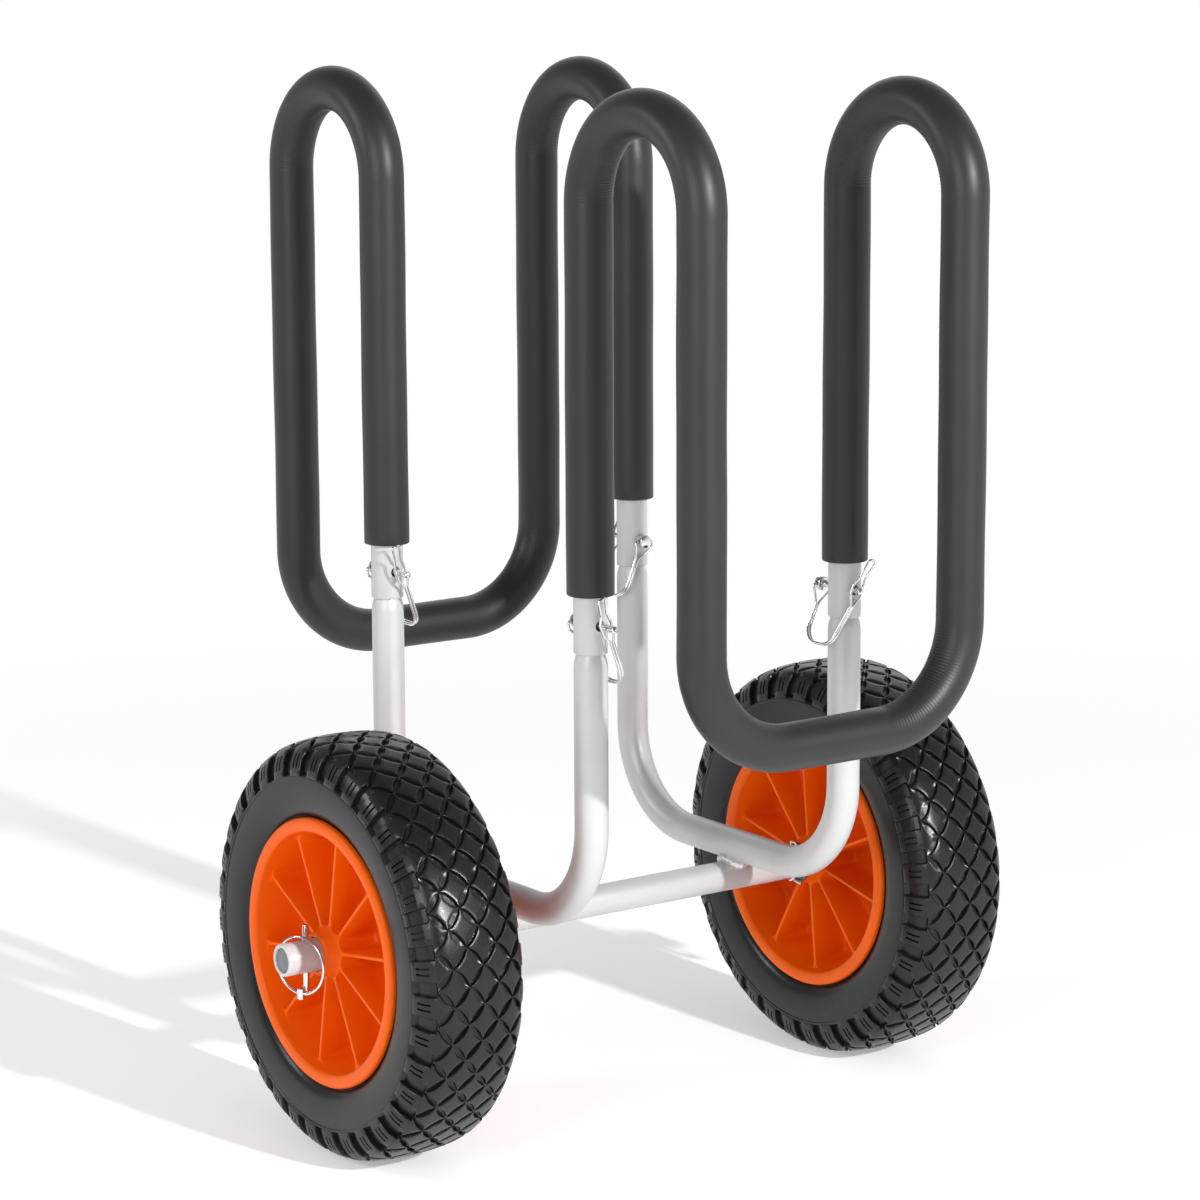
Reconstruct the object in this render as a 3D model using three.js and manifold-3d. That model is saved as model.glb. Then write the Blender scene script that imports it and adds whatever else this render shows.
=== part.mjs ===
// A two-wheeled kayak and board cart, in millimetres with +Z up. X runs along the axle, the front
// is -Y, and the origin is on the ground below the middle of the axle. Two bent post frames are
// welded on the axle tube. Two padded cradle loops slip over the posts and are held by four wire
// lock pins. Each wheel turns on a plastic sleeve and is kept on by a linch pin.
import * as THREE from "three";
import { mergeVertices } from "three/addons/utils/BufferGeometryUtils.js";
import Module from "manifold-3d";

const wasm = await Module();
wasm.setup();

// Shared clearances
const clearance = {
  seat: 0.3, // between pieces that rest on each other
  turning: 0.3, // between a wheel and what it turns on
  overrun: 3, // how far a cutting tool passes the face that it cuts
  merge: 0.001, // vertices closer than this are one
};

// How finely round shapes are faceted
const facets = {
  tube: 12,
  pad: 12,
  axle: 16,
  wheel: 32,
  pin: 12,
  wire: 5,
  hole: 10,
  weld: 16,
};
const bendStep = THREE.MathUtils.degToRad(22.5);
const wireStep = THREE.MathUtils.degToRad(45);

// The places of the four posts
const post = {
  sideways: 94.2, // from the middle to a post, along the axle
  lengthwise: 109.3, // from the axle to a post
  radius: 10,
  wall: 1.7,
  bendRadius: 60,
  shoulder: 9, // length of the cone where a post narrows
  spigotRadius: 8.2,
  spigotWall: 1.6,
  spigotLength: 46, // how far a post goes up into its cradle loop
};

const axle = {
  radius: 9.5,
  wall: 1.9,
  halfLength: 146,
  stubRadius: 7.2,
  stubInsert: 86, // length of a stub inside the tube
  sleeveRadius: 9.75,
  sleeveEnd: 240.6, // from the middle to a sleeve's outer end
  stubRecess: 0.8, // how far a stub's end lies inside its sleeve
  weldRadius: 8.5,
};

const loop = {
  collarHeight: 311.7, // lower ends of the loop tube, above the ground
  topHeight: 624, // centre line of the hoops
  cradleHeight: 267.1, // centre line of the run that carries the board
  hoopSpan: 106.4, // from a post to the outer run beside it
  cradleBendRadius: 60,
  wall: 1.4,
};

const pad = {
  radius: 14,
  endAboveCollar: 34.1,
  shortEndExtra: 10, // one of the four ends stops this much higher
};

const wheel = {
  middle: 182, // from the middle of the cart to the middle of a wheel
  hubHalf: 35.4,
  bossRadius: 12.4,
  bossShoulderRadius: 15.8, // where the ribs' edges meet it
  bossRootRadius: 17,
  webHalf: 2.5,
  ribs: 10,
  ribThickness: 2.6,
  ribHalf: 27,
  seatRadius: 75,
  lipWall: 2.5, // thickness of the barrel at its lip
  rootWall: 9, // and at the web
  seatHalf: 26.5,
  flangeDepth: 6.1, // how far a flange stands above the seat
  flangeBack: 30.5,
  flangeHalf: 34,
  flangeRound: 1.8,
  tyreRadius: 127,
  tyreHalf: 36,
  leftTurn: THREE.MathUtils.degToRad(26.4), // how far round the left wheel's ribs stand
  rightTurn: THREE.MathUtils.degToRad(-6),
};

// The tread is a net of slanting grooves with a diamond block in each of its meshes
const tread = {
  pitches: 35, // blocks round the tyre in each row
  grooveDepth: 2.3,
  recessDepth: 3.2, // between two lugs on the shoulder
};

// The length of a diamond block against that of its mesh, and half a lug's width in pitches
const blockShare = 0.83;
const lugShare = 0.3;

// The middle of a block's top is this share as far from the axle as its corners. The second line of
// the outline is so high that the blocks of the middle row are flat on top.
const blockFlat = Math.cos((Math.PI * blockShare) / tread.pitches);
const tyreHeight = wheel.tyreRadius - wheel.seatRadius - clearance.seat;
const flatRow = 1 - (wheel.tyreRadius * (1 - blockFlat)) / (blockShare * tyreHeight);

// Outline of half a tyre: shares of its half width and of its height above the rim's seat. The
// grooves cross on the first four lines, the lugs reach from the fourth to the sixth.
const tyreShares = [
  [0, 1],
  [0.275, flatRow],
  [0.545, 0.985],
  [0.81, 0.91],
  [0.94, 0.78],
  [1, 0.585],
  [1, 0.46],
  [0.95, 0.16],
];
const edgeLine = 3;
const shoulderLine = 4;
const ridgeLine = 5;

const washer = {
  radius: 13,
  thickness: 2,
};

const cotter = {
  inset: 3.4, // from the axle tube's end
  wireRadius: 0.75,
  legApart: 0.85, // from the pin's axis to a leg's
  holeRadius: 1.9,
  eyeHalfWidth: 2.6,
  eyeFoot: 1.2, // from the axle's top to where the eye opens
  eyeHeight: 2.8,
  eyeBend: 1,
  legDrop: 2.2, // from the axle's underside to the bent legs
  legSlope: 0.9,
  longLeg: 8,
  shortLeg: 3.6,
  legBend: 1.4,
};

const lockPin = {
  aboveCollar: 17,
  radius: 2.1,
  holeRadius: 3.2,
  tipReach: 25, // from the post's axis to the pin's tip
  tipChamfer: 0.8,
  headRadius: 4.25,
  headLength: 5.5,
  headChamfer: 0.5,
  drawn: 8.5, // how far one of the four pins stands out further
  crossHoleRadius: 1.2,
};

const lockWire = {
  radius: 0.8,
  apart: 0.95, // half the spacing where two strands lie side by side
  lean: THREE.MathUtils.degToRad(23), // sideways, so that the wire clears the post
  endGap: 0.7, // from the middle of the head to a wire end
  earReach: 6.8, // how far out an end comes before it turns down
  earBend: 1.4,
  joinDrop: 12.5,
  joinInset: 1.5,
  hangDrop: 38.5,
  hangHalf: 12.5,
  hangBend: 11,
  tipSide: 16.2, // from the post's axis to where the wire crosses the pin
  stretch: 4, // how much longer the wire of the drawn pin is pulled
  splitDrop: 9.5,
  crossHalf: 3.7,
  crossDrop: 3.5,
  crossBend: 2.6,
  neckHalf: 2,
  neckRise: 9,
  tabHalf: 2.7,
  tabRise: 20,
  tabReach: 6,
  tabBend: 1.8,
  strandBend: 5,
};

const linchPin = {
  inset: 16.8, // from the sleeve's outer end
  radius: 1.9,
  holeRadius: 2.4,
  tipRise: 19.5, // from the axle's centre
  tipChamfer: 0.8,
  shankDrop: 21.5,
  headRadius: 2.4,
  headTop: 19,
  headBottom: 25.6,
  headOffset: 3.7,
  crossHoleRadius: 1.25,
};

const linchRing = {
  radius: 17.2,
  wireRadius: 0.9,
  endGap: 0.7,
  turn: THREE.MathUtils.degToRad(20),
  steps: 18,
};

// Heights and places that follow from the sizes above
const axleHeight = wheel.tyreRadius;
const frameHeight = axleHeight + axle.radius + clearance.seat + post.radius;
const pinHeight = loop.collarHeight + lockPin.aboveCollar;
const headShoulder = post.radius + clearance.seat;
const crossHoleReach = headShoulder + lockPin.headLength / 2;
const hubFace = wheel.middle - wheel.hubHalf;
const sleeveStart = axle.halfLength + clearance.seat;

// Colours and finishes
const finish = {
  aluminium: { color: 0xd4d6d8, roughness: 0.38, metalness: 0.85 },
  steel: { color: 0xc9cbce, roughness: 0.22, metalness: 1 },
  darkSteel: { color: 0x3b3d40, roughness: 0.4, metalness: 0.9 },
  foam: { color: 0x3f4042, roughness: 0.72, metalness: 0 },
  rubber: { color: 0x1b1b1c, roughness: 0.5, metalness: 0 },
  plastic: { color: 0xe64b02, roughness: 0.42, metalness: 0 },
  nylon: { color: 0xeceae8, roughness: 0.35, metalness: 0 },
};

const along = (x, y, z) => new THREE.Vector3(x, y, z);

// The closed solid of a three.js geometry
function solidOf(geometry) {
  const bare = new THREE.BufferGeometry();
  bare.setAttribute("position", geometry.getAttribute("position"));
  bare.setIndex(geometry.index);
  const merged = mergeVertices(bare, clearance.merge);
  const mesh = new wasm.Mesh({
    numProp: 3,
    vertProperties: merged.getAttribute("position").array,
    triVerts: new Uint32Array(merged.index.array),
  });
  return new wasm.Manifold(mesh);
}

function geometryOf(solid) {
  const mesh = solid.getMesh();
  const geometry = new THREE.BufferGeometry();
  geometry.setAttribute("position", new THREE.BufferAttribute(mesh.vertProperties, 3));
  geometry.setIndex(new THREE.BufferAttribute(mesh.triVerts, 1));
  geometry.computeVertexNormals();
  return geometry;
}

function joined(solids) {
  return solids.reduce((whole, next) => whole.add(next));
}

function cutBy(solid, tools) {
  return tools.reduce((left, tool) => left.subtract(tool), solid);
}

// A route given by its stations, each a point and the direction of travel there. An extrusion
// along it has one section at each station.
class Route extends THREE.Curve {
  constructor(stations) {
    super();
    this.stations = stations;
  }

  stationAt(u) {
    return this.stations[Math.round(u * (this.stations.length - 1))];
  }

  getPointAt(u) {
    return this.stationAt(u).point.clone();
  }

  getTangentAt(u) {
    return this.stationAt(u).tangent.clone();
  }
}

// Even steps round the bend at one corner of a route
function bendStations({ at, bend }, into, out, step) {
  const turn = into.angleTo(out);
  const axis = into.clone().cross(out).normalize();
  const toCentre = out.clone().sub(into).normalize();
  const centre = at.clone().addScaledVector(toCentre, bend / Math.cos(turn / 2));
  const arm = at.clone().addScaledVector(into, -bend * Math.tan(turn / 2)).sub(centre);
  const steps = Math.max(1, Math.round(turn / step));
  return Array.from({ length: steps + 1 }, (_, k) => {
    const angle = (turn * k) / steps;
    const point = centre.clone().add(arm.clone().applyAxisAngle(axis, angle));
    return { point, tangent: into.clone().applyAxisAngle(axis, angle) };
  });
}

// A route through corner points, each rounded to its own radius. It has stations only at its
// ends and round its bends, and bends that meet share one.
function bentRoute(corners, step) {
  const heading = (from, to) => to.at.clone().sub(from.at).normalize();
  const last = corners.length - 1;
  const bends = corners.slice(1, last).flatMap((corner, k) => {
    const into = heading(corners[k], corner);
    return bendStations(corner, into, heading(corner, corners[k + 2]), step);
  });
  const start = { point: corners[0].at, tangent: heading(corners[0], corners[1]) };
  const end = { point: corners[last].at, tangent: heading(corners[last - 1], corners[last]) };
  const stations = [start, ...bends, end].filter(({ point }, k, all) => {
    return k === 0 || point.distanceTo(all[k - 1].point) > clearance.merge;
  });
  return new Route(stations);
}

// Points of a circle. Half a facet of turn puts flats, not corners, on the axes.
function circlePoints(radius, sides, turn = 0) {
  const angles = Array.from({ length: sides }, (_, k) => (2 * Math.PI * (k + turn)) / sides);
  return angles.map((a) => new THREE.Vector2(radius * Math.cos(a), radius * Math.sin(a)));
}

function extruded(shape, path) {
  const geometry = new THREE.ExtrudeGeometry(shape, {
    steps: path.stations.length - 1,
    extrudePath: path,
    bevelEnabled: false,
  });
  return solidOf(geometry);
}

function roundBar(path, radius, sides) {
  return extruded(new THREE.Shape(circlePoints(radius, sides)), path);
}

function hollowTube(path, radius, wall, sides) {
  const shape = new THREE.Shape(circlePoints(radius, sides));
  shape.holes.push(new THREE.Path(circlePoints(radius - wall, sides)));
  return extruded(shape, path);
}

// A solid of revolution about +Z from points of [radius, height], listed upwards on the outside
function turned(points, sides, turn = 0) {
  const profile = points.map(([radius, height]) => new THREE.Vector2(radius, height));
  const start = (2 * Math.PI * turn) / sides;
  const geometry = new THREE.LatheGeometry(profile, sides, start, 2 * Math.PI);
  geometry.rotateX(Math.PI / 2);
  return solidOf(geometry);
}

// A ring with a bore, from one height to another
function ring(inner, outer, from, to, sides) {
  return turned([[inner, from], [outer, from], [outer, to], [inner, to], [inner, from]], sides);
}

// A plain rod between two points, used as a pin or as a cutting tool
function rod(from, to, radius, sides) {
  return roundBar(bentRoute([{ at: from }, { at: to }], bendStep), radius, sides);
}

const cart = new THREE.Group();

function addPiece(name, solid, look, parent = cart) {
  const mesh = new THREE.Mesh(geometryOf(solid), new THREE.MeshStandardMaterial(look));
  mesh.name = name;
  parent.add(mesh);
  return mesh;
}

// Lay a piece that was turned about +Z along the axle, pointing to the given side
function alongAxle(piece, side) {
  piece.rotation.y = (side * Math.PI) / 2;
  piece.position.z = axleHeight;
}

function axleRun(from, to) {
  const start = { at: along(from, 0, axleHeight) };
  return bentRoute([start, { at: along(to, 0, axleHeight) }], bendStep);
}

// A vertical hole through the axle or what is on it
function uprightHole(x, radius) {
  const reach = axle.sleeveRadius + clearance.overrun;
  return rod(along(x, 0, axleHeight - reach), along(x, 0, axleHeight + reach), radius, facets.hole);
}

function makeAxle() {
  const whole = axleRun(-axle.halfLength, axle.halfLength);
  const cotterPlace = axle.halfLength - cotter.inset;
  const linchPlace = axle.sleeveEnd - linchPin.inset;
  const cotterHoles = [-cotterPlace, cotterPlace].map((x) => uprightHole(x, cotter.holeRadius));
  const tube = hollowTube(whole, axle.radius, axle.wall, facets.axle);
  addPiece("axle_tube", cutBy(tube, cotterHoles), finish.aluminium);
  for (const [name, side] of [["left", -1], ["right", 1]]) {
    const inner = side * (axle.halfLength - axle.stubInsert);
    const outer = side * (axle.sleeveEnd - axle.stubRecess);
    const holes = [
      uprightHole(side * cotterPlace, cotter.holeRadius),
      uprightHole(side * linchPlace, linchPin.holeRadius),
    ];
    const stub = roundBar(axleRun(inner, outer), axle.stubRadius, facets.axle);
    addPiece(name + "_axle_stub", cutBy(stub, holes), finish.aluminium);
    const cover = axleRun(side * sleeveStart, side * axle.sleeveEnd);
    const wall = axle.sleeveRadius - axle.stubRadius - clearance.seat;
    const sleeve = hollowTube(cover, axle.sleeveRadius, wall, facets.axle);
    addPiece(name + "_wheel_sleeve", cutBy(sleeve, [holes[1]]), finish.nylon);
  }
}

function postRun(x) {
  const top = loop.collarHeight - post.shoulder;
  const { lengthwise: y, bendRadius: bend } = post;
  const corners = [
    { at: along(x, y, top) },
    { at: along(x, y, frameHeight), bend },
    { at: along(x, -y, frameHeight), bend },
    { at: along(x, -y, top) },
  ];
  return bentRoute(corners, bendStep);
}

// The narrowed upper end of a post: a cone, then a spigot that fits inside the loop tube
function spigot() {
  const foot = loop.collarHeight - post.shoulder - clearance.overrun;
  const shoulder = loop.collarHeight - post.shoulder;
  const top = loop.collarHeight + post.spigotLength;
  const bore = post.spigotRadius - post.spigotWall;
  const wide = post.radius - post.wall;
  const outline = [
    [wide, foot],
    [post.radius, foot],
    [post.radius, shoulder],
    [post.spigotRadius, loop.collarHeight],
    [post.spigotRadius, top],
    [bore, top],
    [bore, loop.collarHeight],
    [wide, shoulder],
    [wide, foot],
  ];
  return turned(outline, facets.tube);
}

// A hole through a post and its loop tube for a lock pin
function lockHole(x, y) {
  const reach = post.radius + clearance.overrun;
  const from = along(x, y - reach, pinHeight);
  return rod(from, along(x, y + reach, pinHeight), lockPin.holeRadius, facets.hole);
}

function makePostFrames() {
  for (const [name, side] of [["left", -1], ["right", 1]]) {
    const x = side * post.sideways;
    const ends = [-post.lengthwise, post.lengthwise];
    const run = hollowTube(postRun(x), post.radius, post.wall, facets.tube);
    const tops = ends.map((y) => spigot().translate(x, y, 0));
    const holes = ends.map((y) => lockHole(x, y));
    addPiece(name + "_post_frame", cutBy(joined([run, ...tops]), holes), finish.aluminium);
    addPiece(name + "_frame_weld", weld(x), finish.aluminium);
  }
}

// The fillet of weld between the axle and the frame that crosses it
function weld(x) {
  const slack = clearance.seat;
  const block = rod(along(x, 0, axleHeight), along(x, 0, frameHeight), axle.weldRadius, facets.weld);
  const reach = axle.weldRadius + clearance.overrun;
  const lower = roundBar(axleRun(x - reach, x + reach), axle.radius + slack, facets.axle);
  const upper = roundBar(postRun(x), post.radius + slack, facets.tube);
  return cutBy(block, [lower, upper]);
}

// The route of a cradle loop, up a post, over a hoop, down and across under the board, and back.
// leftEnd and rightEnd are the heights of its two lower ends.
function loopRun(leftEnd, rightEnd) {
  const x = post.sideways;
  const inner = -post.lengthwise;
  const outer = inner - loop.hoopSpan;
  const hoop = loop.hoopSpan / 2;
  const cradle = loop.cradleBendRadius;
  const corners = [
    { at: along(-x, inner, leftEnd) },
    { at: along(-x, inner, loop.topHeight), bend: hoop },
    { at: along(-x, outer, loop.topHeight), bend: hoop },
    { at: along(-x, outer, loop.cradleHeight), bend: cradle },
    { at: along(x, outer, loop.cradleHeight), bend: cradle },
    { at: along(x, outer, loop.topHeight), bend: hoop },
    { at: along(x, inner, loop.topHeight), bend: hoop },
    { at: along(x, inner, rightEnd) },
  ];
  return bentRoute(corners, bendStep);
}

function padSleeve(leftEnd, rightEnd) {
  const outer = pad.radius / Math.cos(Math.PI / facets.pad);
  const shape = new THREE.Shape(circlePoints(outer, facets.pad, 1 / 2));
  const bore = circlePoints(post.radius + clearance.seat, facets.tube);
  shape.holes.push(new THREE.Path(bore));
  return extruded(shape, loopRun(leftEnd, rightEnd));
}

function makeLoops() {
  const low = loop.collarHeight;
  const padEnd = low + pad.endAboveCollar;
  for (const [name, turn, extra] of [["front", 0, 0], ["rear", Math.PI, pad.shortEndExtra]]) {
    const holder = new THREE.Group();
    holder.rotation.z = turn;
    cart.add(holder);
    const x = post.sideways;
    const holes = [-x, x].map((place) => lockHole(place, -post.lengthwise));
    const tube = hollowTube(loopRun(low, low), post.radius, loop.wall, facets.tube);
    addPiece(name + "_loop_tube", cutBy(tube, holes), finish.aluminium, holder);
    addPiece(name + "_loop_pad", padSleeve(padEnd + extra, padEnd), finish.foam, holder);
  }
}

// The same outline on both sides of the wheel's middle, as one closed loop
function bothSides(half) {
  const mirrored = half.map(([radius, place]) => [radius, -place]).reverse();
  return [...mirrored, ...half, mirrored[0]];
}

function rimBody() {
  const w = wheel;
  const bore = (axle.sleeveRadius + clearance.turning) / Math.cos(Math.PI / facets.wheel);
  const flange = w.seatRadius + w.flangeDepth;
  const lip = w.seatRadius - w.lipWall;
  const half = [
    [w.seatRadius, w.seatHalf],
    [flange, w.flangeBack],
    [flange, w.flangeHalf - w.flangeRound],
    [flange - w.flangeRound, w.flangeHalf],
    [lip + w.flangeRound, w.flangeHalf],
    [lip, w.flangeHalf - w.flangeRound],
    [w.seatRadius - w.rootWall, w.webHalf],
    [w.bossRootRadius, w.webHalf],
    [w.bossShoulderRadius, w.ribHalf],
    [w.bossRadius, w.hubHalf],
    [bore, w.hubHalf],
  ];
  return turned(bothSides(half), facets.wheel, 1 / 2);
}

// One rib on each face of the web, made as a single plate through it
function rib(angle) {
  const outer = wheel.seatRadius - wheel.lipWall / 2;
  const inner = (axle.sleeveRadius + wheel.bossRadius) / 2;
  const plate = new THREE.BoxGeometry(outer - inner, wheel.ribThickness, 2 * wheel.ribHalf);
  plate.translate((outer + inner) / 2, 0, 0);
  plate.rotateZ(angle);
  return solidOf(plate);
}

// A point at a number of pitches round the tyre, at a radius and a place across it
function roundTyre(pitch, radius, place) {
  const angle = (2 * Math.PI * (pitch % tread.pitches)) / tread.pitches;
  return new THREE.Vector3(radius * Math.cos(angle), radius * Math.sin(angle), place);
}

// A point of the tread, sunk by a depth towards the middle of the seat. Lines may be fractions.
function onTread(pitch, line, depth = 0) {
  const seat = wheel.seatRadius + clearance.seat;
  const before = Math.min(Math.floor(Math.abs(line)), ridgeLine - 1);
  const [low, high] = [tyreShares[before], tyreShares[before + 1]];
  const step = Math.abs(line) - before;
  const across = THREE.MathUtils.lerp(low[0], high[0], step) * wheel.tyreHalf * Math.sign(line);
  const up = THREE.MathUtils.lerp(low[1], high[1], step) * tyreHeight;
  const left = 1 - depth / Math.hypot(across, up);
  return roundTyre(pitch, (seat + up * left) / blockFlat, across * left);
}

// The faces of a tyre, as polygons whose corners go round anticlockwise seen from outside
class TyreFaces {
  constructor() {
    this.corners = [];
  }

  add(polygon) {
    for (let k = 2; k < polygon.length; k += 1) {
      this.corners.push(polygon[0], polygon[k - 1], polygon[k]);
    }
  }

  // A diamond block with the near slopes of the four grooves round it
  addBlock(pitch, line) {
    const ways = [[1 / 2, 0], [0, 1], [-1 / 2, 0], [0, -1]];
    const low = ways.map(([u, v]) => onTread(pitch + u, line + v, tread.grooveDepth));
    const high = ways.map(([u, v]) => onTread(pitch + u * blockShare, line + v * blockShare));
    for (const k of ways.keys()) {
      const next = (k + 1) % ways.length;
      this.add([low[k], low[next], high[next], high[k]]);
    }
    this.add(high);
  }

  // On the shoulder: half a block, the lug that it runs into and half a recess on each side
  addLug(pitch, side) {
    const polygons = [];
    const edge = side * edgeLine;
    const tip = onTread(pitch, edge - side * blockShare);
    const tipFoot = onTread(pitch, edge - side, tread.grooveDepth);
    const top = (end, line) => onTread(pitch + end * lugShare, side * line);
    const foot = (end, line, depth) => onTread(pitch + end / 2, side * line, depth);
    for (const end of [-1, 1]) {
      const crossing = foot(end, edgeLine, tread.grooveDepth);
      const recess = foot(end, shoulderLine, tread.recessDepth);
      const slopes = [
        [tipFoot, crossing, top(end, edgeLine), tip],
        [top(end, edgeLine), crossing, recess, top(end, shoulderLine)],
        [top(end, shoulderLine), recess, foot(end, ridgeLine, 0)],
      ];
      polygons.push(...slopes.map((slope) => (end > 0 ? slope : slope.reverse())));
    }
    polygons.push([tip, top(1, edgeLine), top(-1, edgeLine)]);
    polygons.push([top(-1, edgeLine), top(1, edgeLine), top(1, shoulderLine), top(-1, shoulderLine)]);
    polygons.push([
      top(-1, shoulderLine),
      top(1, shoulderLine),
      foot(1, ridgeLine, 0),
      foot(-1, ridgeLine, 0),
    ]);
    for (const polygon of polygons) {
      this.add(side > 0 ? polygon : polygon.reverse());
    }
  }

  solid() {
    return solidOf(new THREE.BufferGeometry().setFromPoints(this.corners));
  }
}

// The rest of the tyre's outline from one sidewall over the rim's seat to the other, as points
// of radius and place
function tyreInside() {
  const w = wheel;
  const slack = clearance.seat;
  const flat = Math.cos(Math.PI / tread.pitches);
  const seat = w.seatRadius + slack;
  const sidewall = tyreShares.slice(ridgeLine).map(([across, up]) => {
    return [(seat + tyreHeight * up) / blockFlat, w.tyreHalf * across];
  });
  const bead = [(seat + w.flangeDepth) / flat, w.flangeBack - slack];
  const half = [...sidewall, bead, [seat / flat, w.seatHalf - slack]];
  return [...half, ...half.map(([radius, place]) => [radius, -place]).reverse()];
}

// A tyre whose lowest point, once it lies along the axle, is the middle of a block
function tyreBody(side) {
  const faces = new TyreFaces();
  const inside = tyreInside();
  const half = 1 / 2;
  const lowest = side > 0 ? 0 : tread.pitches * half;
  const start = (lowest + half) % 1;
  for (let k = 1; k <= tread.pitches; k += 1) {
    const pitch = k + start;
    for (let line = 1 - edgeLine; line < edgeLine; line += 1) {
      faces.addBlock(line % 2 === 0 ? pitch + half : pitch, line);
    }
    faces.addLug(pitch, -1);
    faces.addLug(pitch, 1);
    const [from, to] = [pitch - half, pitch + half];
    for (const [row, far] of inside.slice(1).entries()) {
      const near = inside[row];
      faces.add([
        roundTyre(from, ...near),
        roundTyre(to, ...near),
        roundTyre(to, ...far),
        roundTyre(from, ...far),
      ]);
    }
  }
  return faces.solid();
}

function makeWheels() {
  for (const [name, side, turn] of [["left", -1, wheel.leftTurn], ["right", 1, wheel.rightTurn]]) {
    const angles = Array.from({ length: wheel.ribs }, (_, k) => turn + (2 * Math.PI * k) / wheel.ribs);
    const pieces = [
      addPiece(name + "_rim", joined([rimBody(), ...angles.map(rib)]), finish.plastic),
      addPiece(name + "_tyre", tyreBody(side), finish.rubber),
    ];
    for (const piece of pieces) {
      alongAxle(piece, side);
      piece.position.x = side * wheel.middle;
    }
    const bore = (axle.radius + clearance.seat) / Math.cos(Math.PI / facets.axle);
    const from = hubFace - clearance.seat - washer.thickness;
    const plate = ring(bore, washer.radius, from, hubFace - clearance.seat, facets.axle);
    alongAxle(addPiece(name + "_hub_washer", plate, finish.darkSteel), side);
  }
}

// A split pin: one wire folded at an eye, its two legs side by side and bent apart at their ends
function cotterPin() {
  const c = cotter;
  const top = axle.radius + c.eyeFoot;
  const low = -axle.radius - c.legDrop;
  const corners = [
    { at: along(-c.longLeg, 0, low - c.legSlope) },
    { at: along(-c.legApart, 0, low), bend: c.legBend },
    { at: along(-c.legApart, 0, top), bend: c.eyeBend },
    { at: along(-c.eyeHalfWidth, 0, top + c.eyeFoot), bend: c.eyeBend },
    { at: along(-c.eyeHalfWidth, 0, top + c.eyeHeight), bend: c.eyeBend },
    { at: along(c.eyeHalfWidth, 0, top + c.eyeHeight), bend: c.eyeBend },
    { at: along(c.eyeHalfWidth, 0, top + c.eyeFoot), bend: c.eyeBend },
    { at: along(c.legApart, 0, top), bend: c.eyeBend },
    { at: along(c.legApart, 0, low), bend: c.legBend },
    { at: along(c.shortLeg, 0, low - c.legSlope) },
  ];
  return roundBar(bentRoute(corners, wireStep), c.wireRadius, facets.wire);
}

function makeCotterPins() {
  for (const [name, side] of [["left", -1], ["right", 1]]) {
    const pin = addPiece(name + "_cotter_pin", cotterPin(), finish.steel);
    pin.rotation.z = (side * Math.PI) / 2;
    pin.position.set(side * (axle.halfLength - cotter.inset), 0, axleHeight);
  }
}

// A lock pin along Y with its head towards +Y. The wire's ends go into its cross hole.
function lockPinBody() {
  const p = lockPin;
  const end = headShoulder + p.headLength;
  const outline = [
    [0, -p.tipReach],
    [p.radius - p.tipChamfer, -p.tipReach],
    [p.radius, -p.tipReach + p.tipChamfer],
    [p.radius, headShoulder],
    [p.headRadius - p.headChamfer, headShoulder],
    [p.headRadius, headShoulder + p.headChamfer],
    [p.headRadius, end - p.headChamfer],
    [p.headRadius - p.headChamfer, end],
    [0, end],
  ];
  const reach = p.headRadius + clearance.overrun;
  const from = along(-reach, 0, crossHoleReach);
  const hole = rod(from, along(reach, 0, crossHoleReach), p.crossHoleRadius, facets.hole);
  return cutBy(turned(outline, facets.pin), [hole]).rotate(-90, 0, 0);
}

// The spring wire of a lock pin: from the head's cross hole it leans sideways and hangs under
// the post, then it rises on both sides of the pin's tip to a finger tab
function lockWireBody(lean, stretch) {
  const w = lockWire;
  const head = crossHoleReach;
  const tip = -w.tipSide - stretch;
  const low = w.hangDrop - stretch / 2;
  const ends = [
    { at: along(w.endGap, head, 0) },
    { at: along(w.earReach, head, 0), bend: w.earBend },
  ];
  const bail = [
    { at: along(w.apart, head - w.joinInset, -w.joinDrop), bend: w.strandBend },
    { at: along(w.apart, w.hangHalf, -low), bend: w.hangBend },
    { at: along(w.apart, -w.hangHalf, -low), bend: w.hangBend },
    { at: along(w.apart, tip, -w.splitDrop), bend: w.strandBend },
    { at: along(w.crossHalf, tip, -w.crossDrop), bend: w.crossBend },
    { at: along(w.crossHalf, tip, w.crossDrop), bend: w.crossBend },
    { at: along(w.neckHalf, tip - w.tabReach / 3, w.neckRise), bend: w.crossBend },
    { at: along(w.tabHalf, tip - w.tabReach, w.tabRise), bend: w.tabBend },
  ];
  const upright = [...ends, ...bail];
  const across = along(-1, 1, 1);
  const mirrored = upright.map(({ at, bend }) => ({ at: at.clone().multiply(across), bend }));
  const leaning = [...upright, ...mirrored.reverse()].map(({ at, bend }, k, all) => {
    const level = k < ends.length || k >= all.length - ends.length;
    return { at: level ? at : at.clone().applyAxisAngle(along(0, 1, 0), lean), bend };
  });
  return roundBar(bentRoute(leaning, wireStep), w.radius, facets.wire);
}

// name, sides of the post, half turn of the pin, side to which its wire hangs, drawn or not
const lockPlaces = [
  ["front_left", -1, -1, 0, 1, false],
  ["front_right", 1, -1, 0, -1, true],
  ["rear_left", -1, 1, 0, 1, false],
  ["rear_right", 1, 1, Math.PI, 1, false],
];

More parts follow.
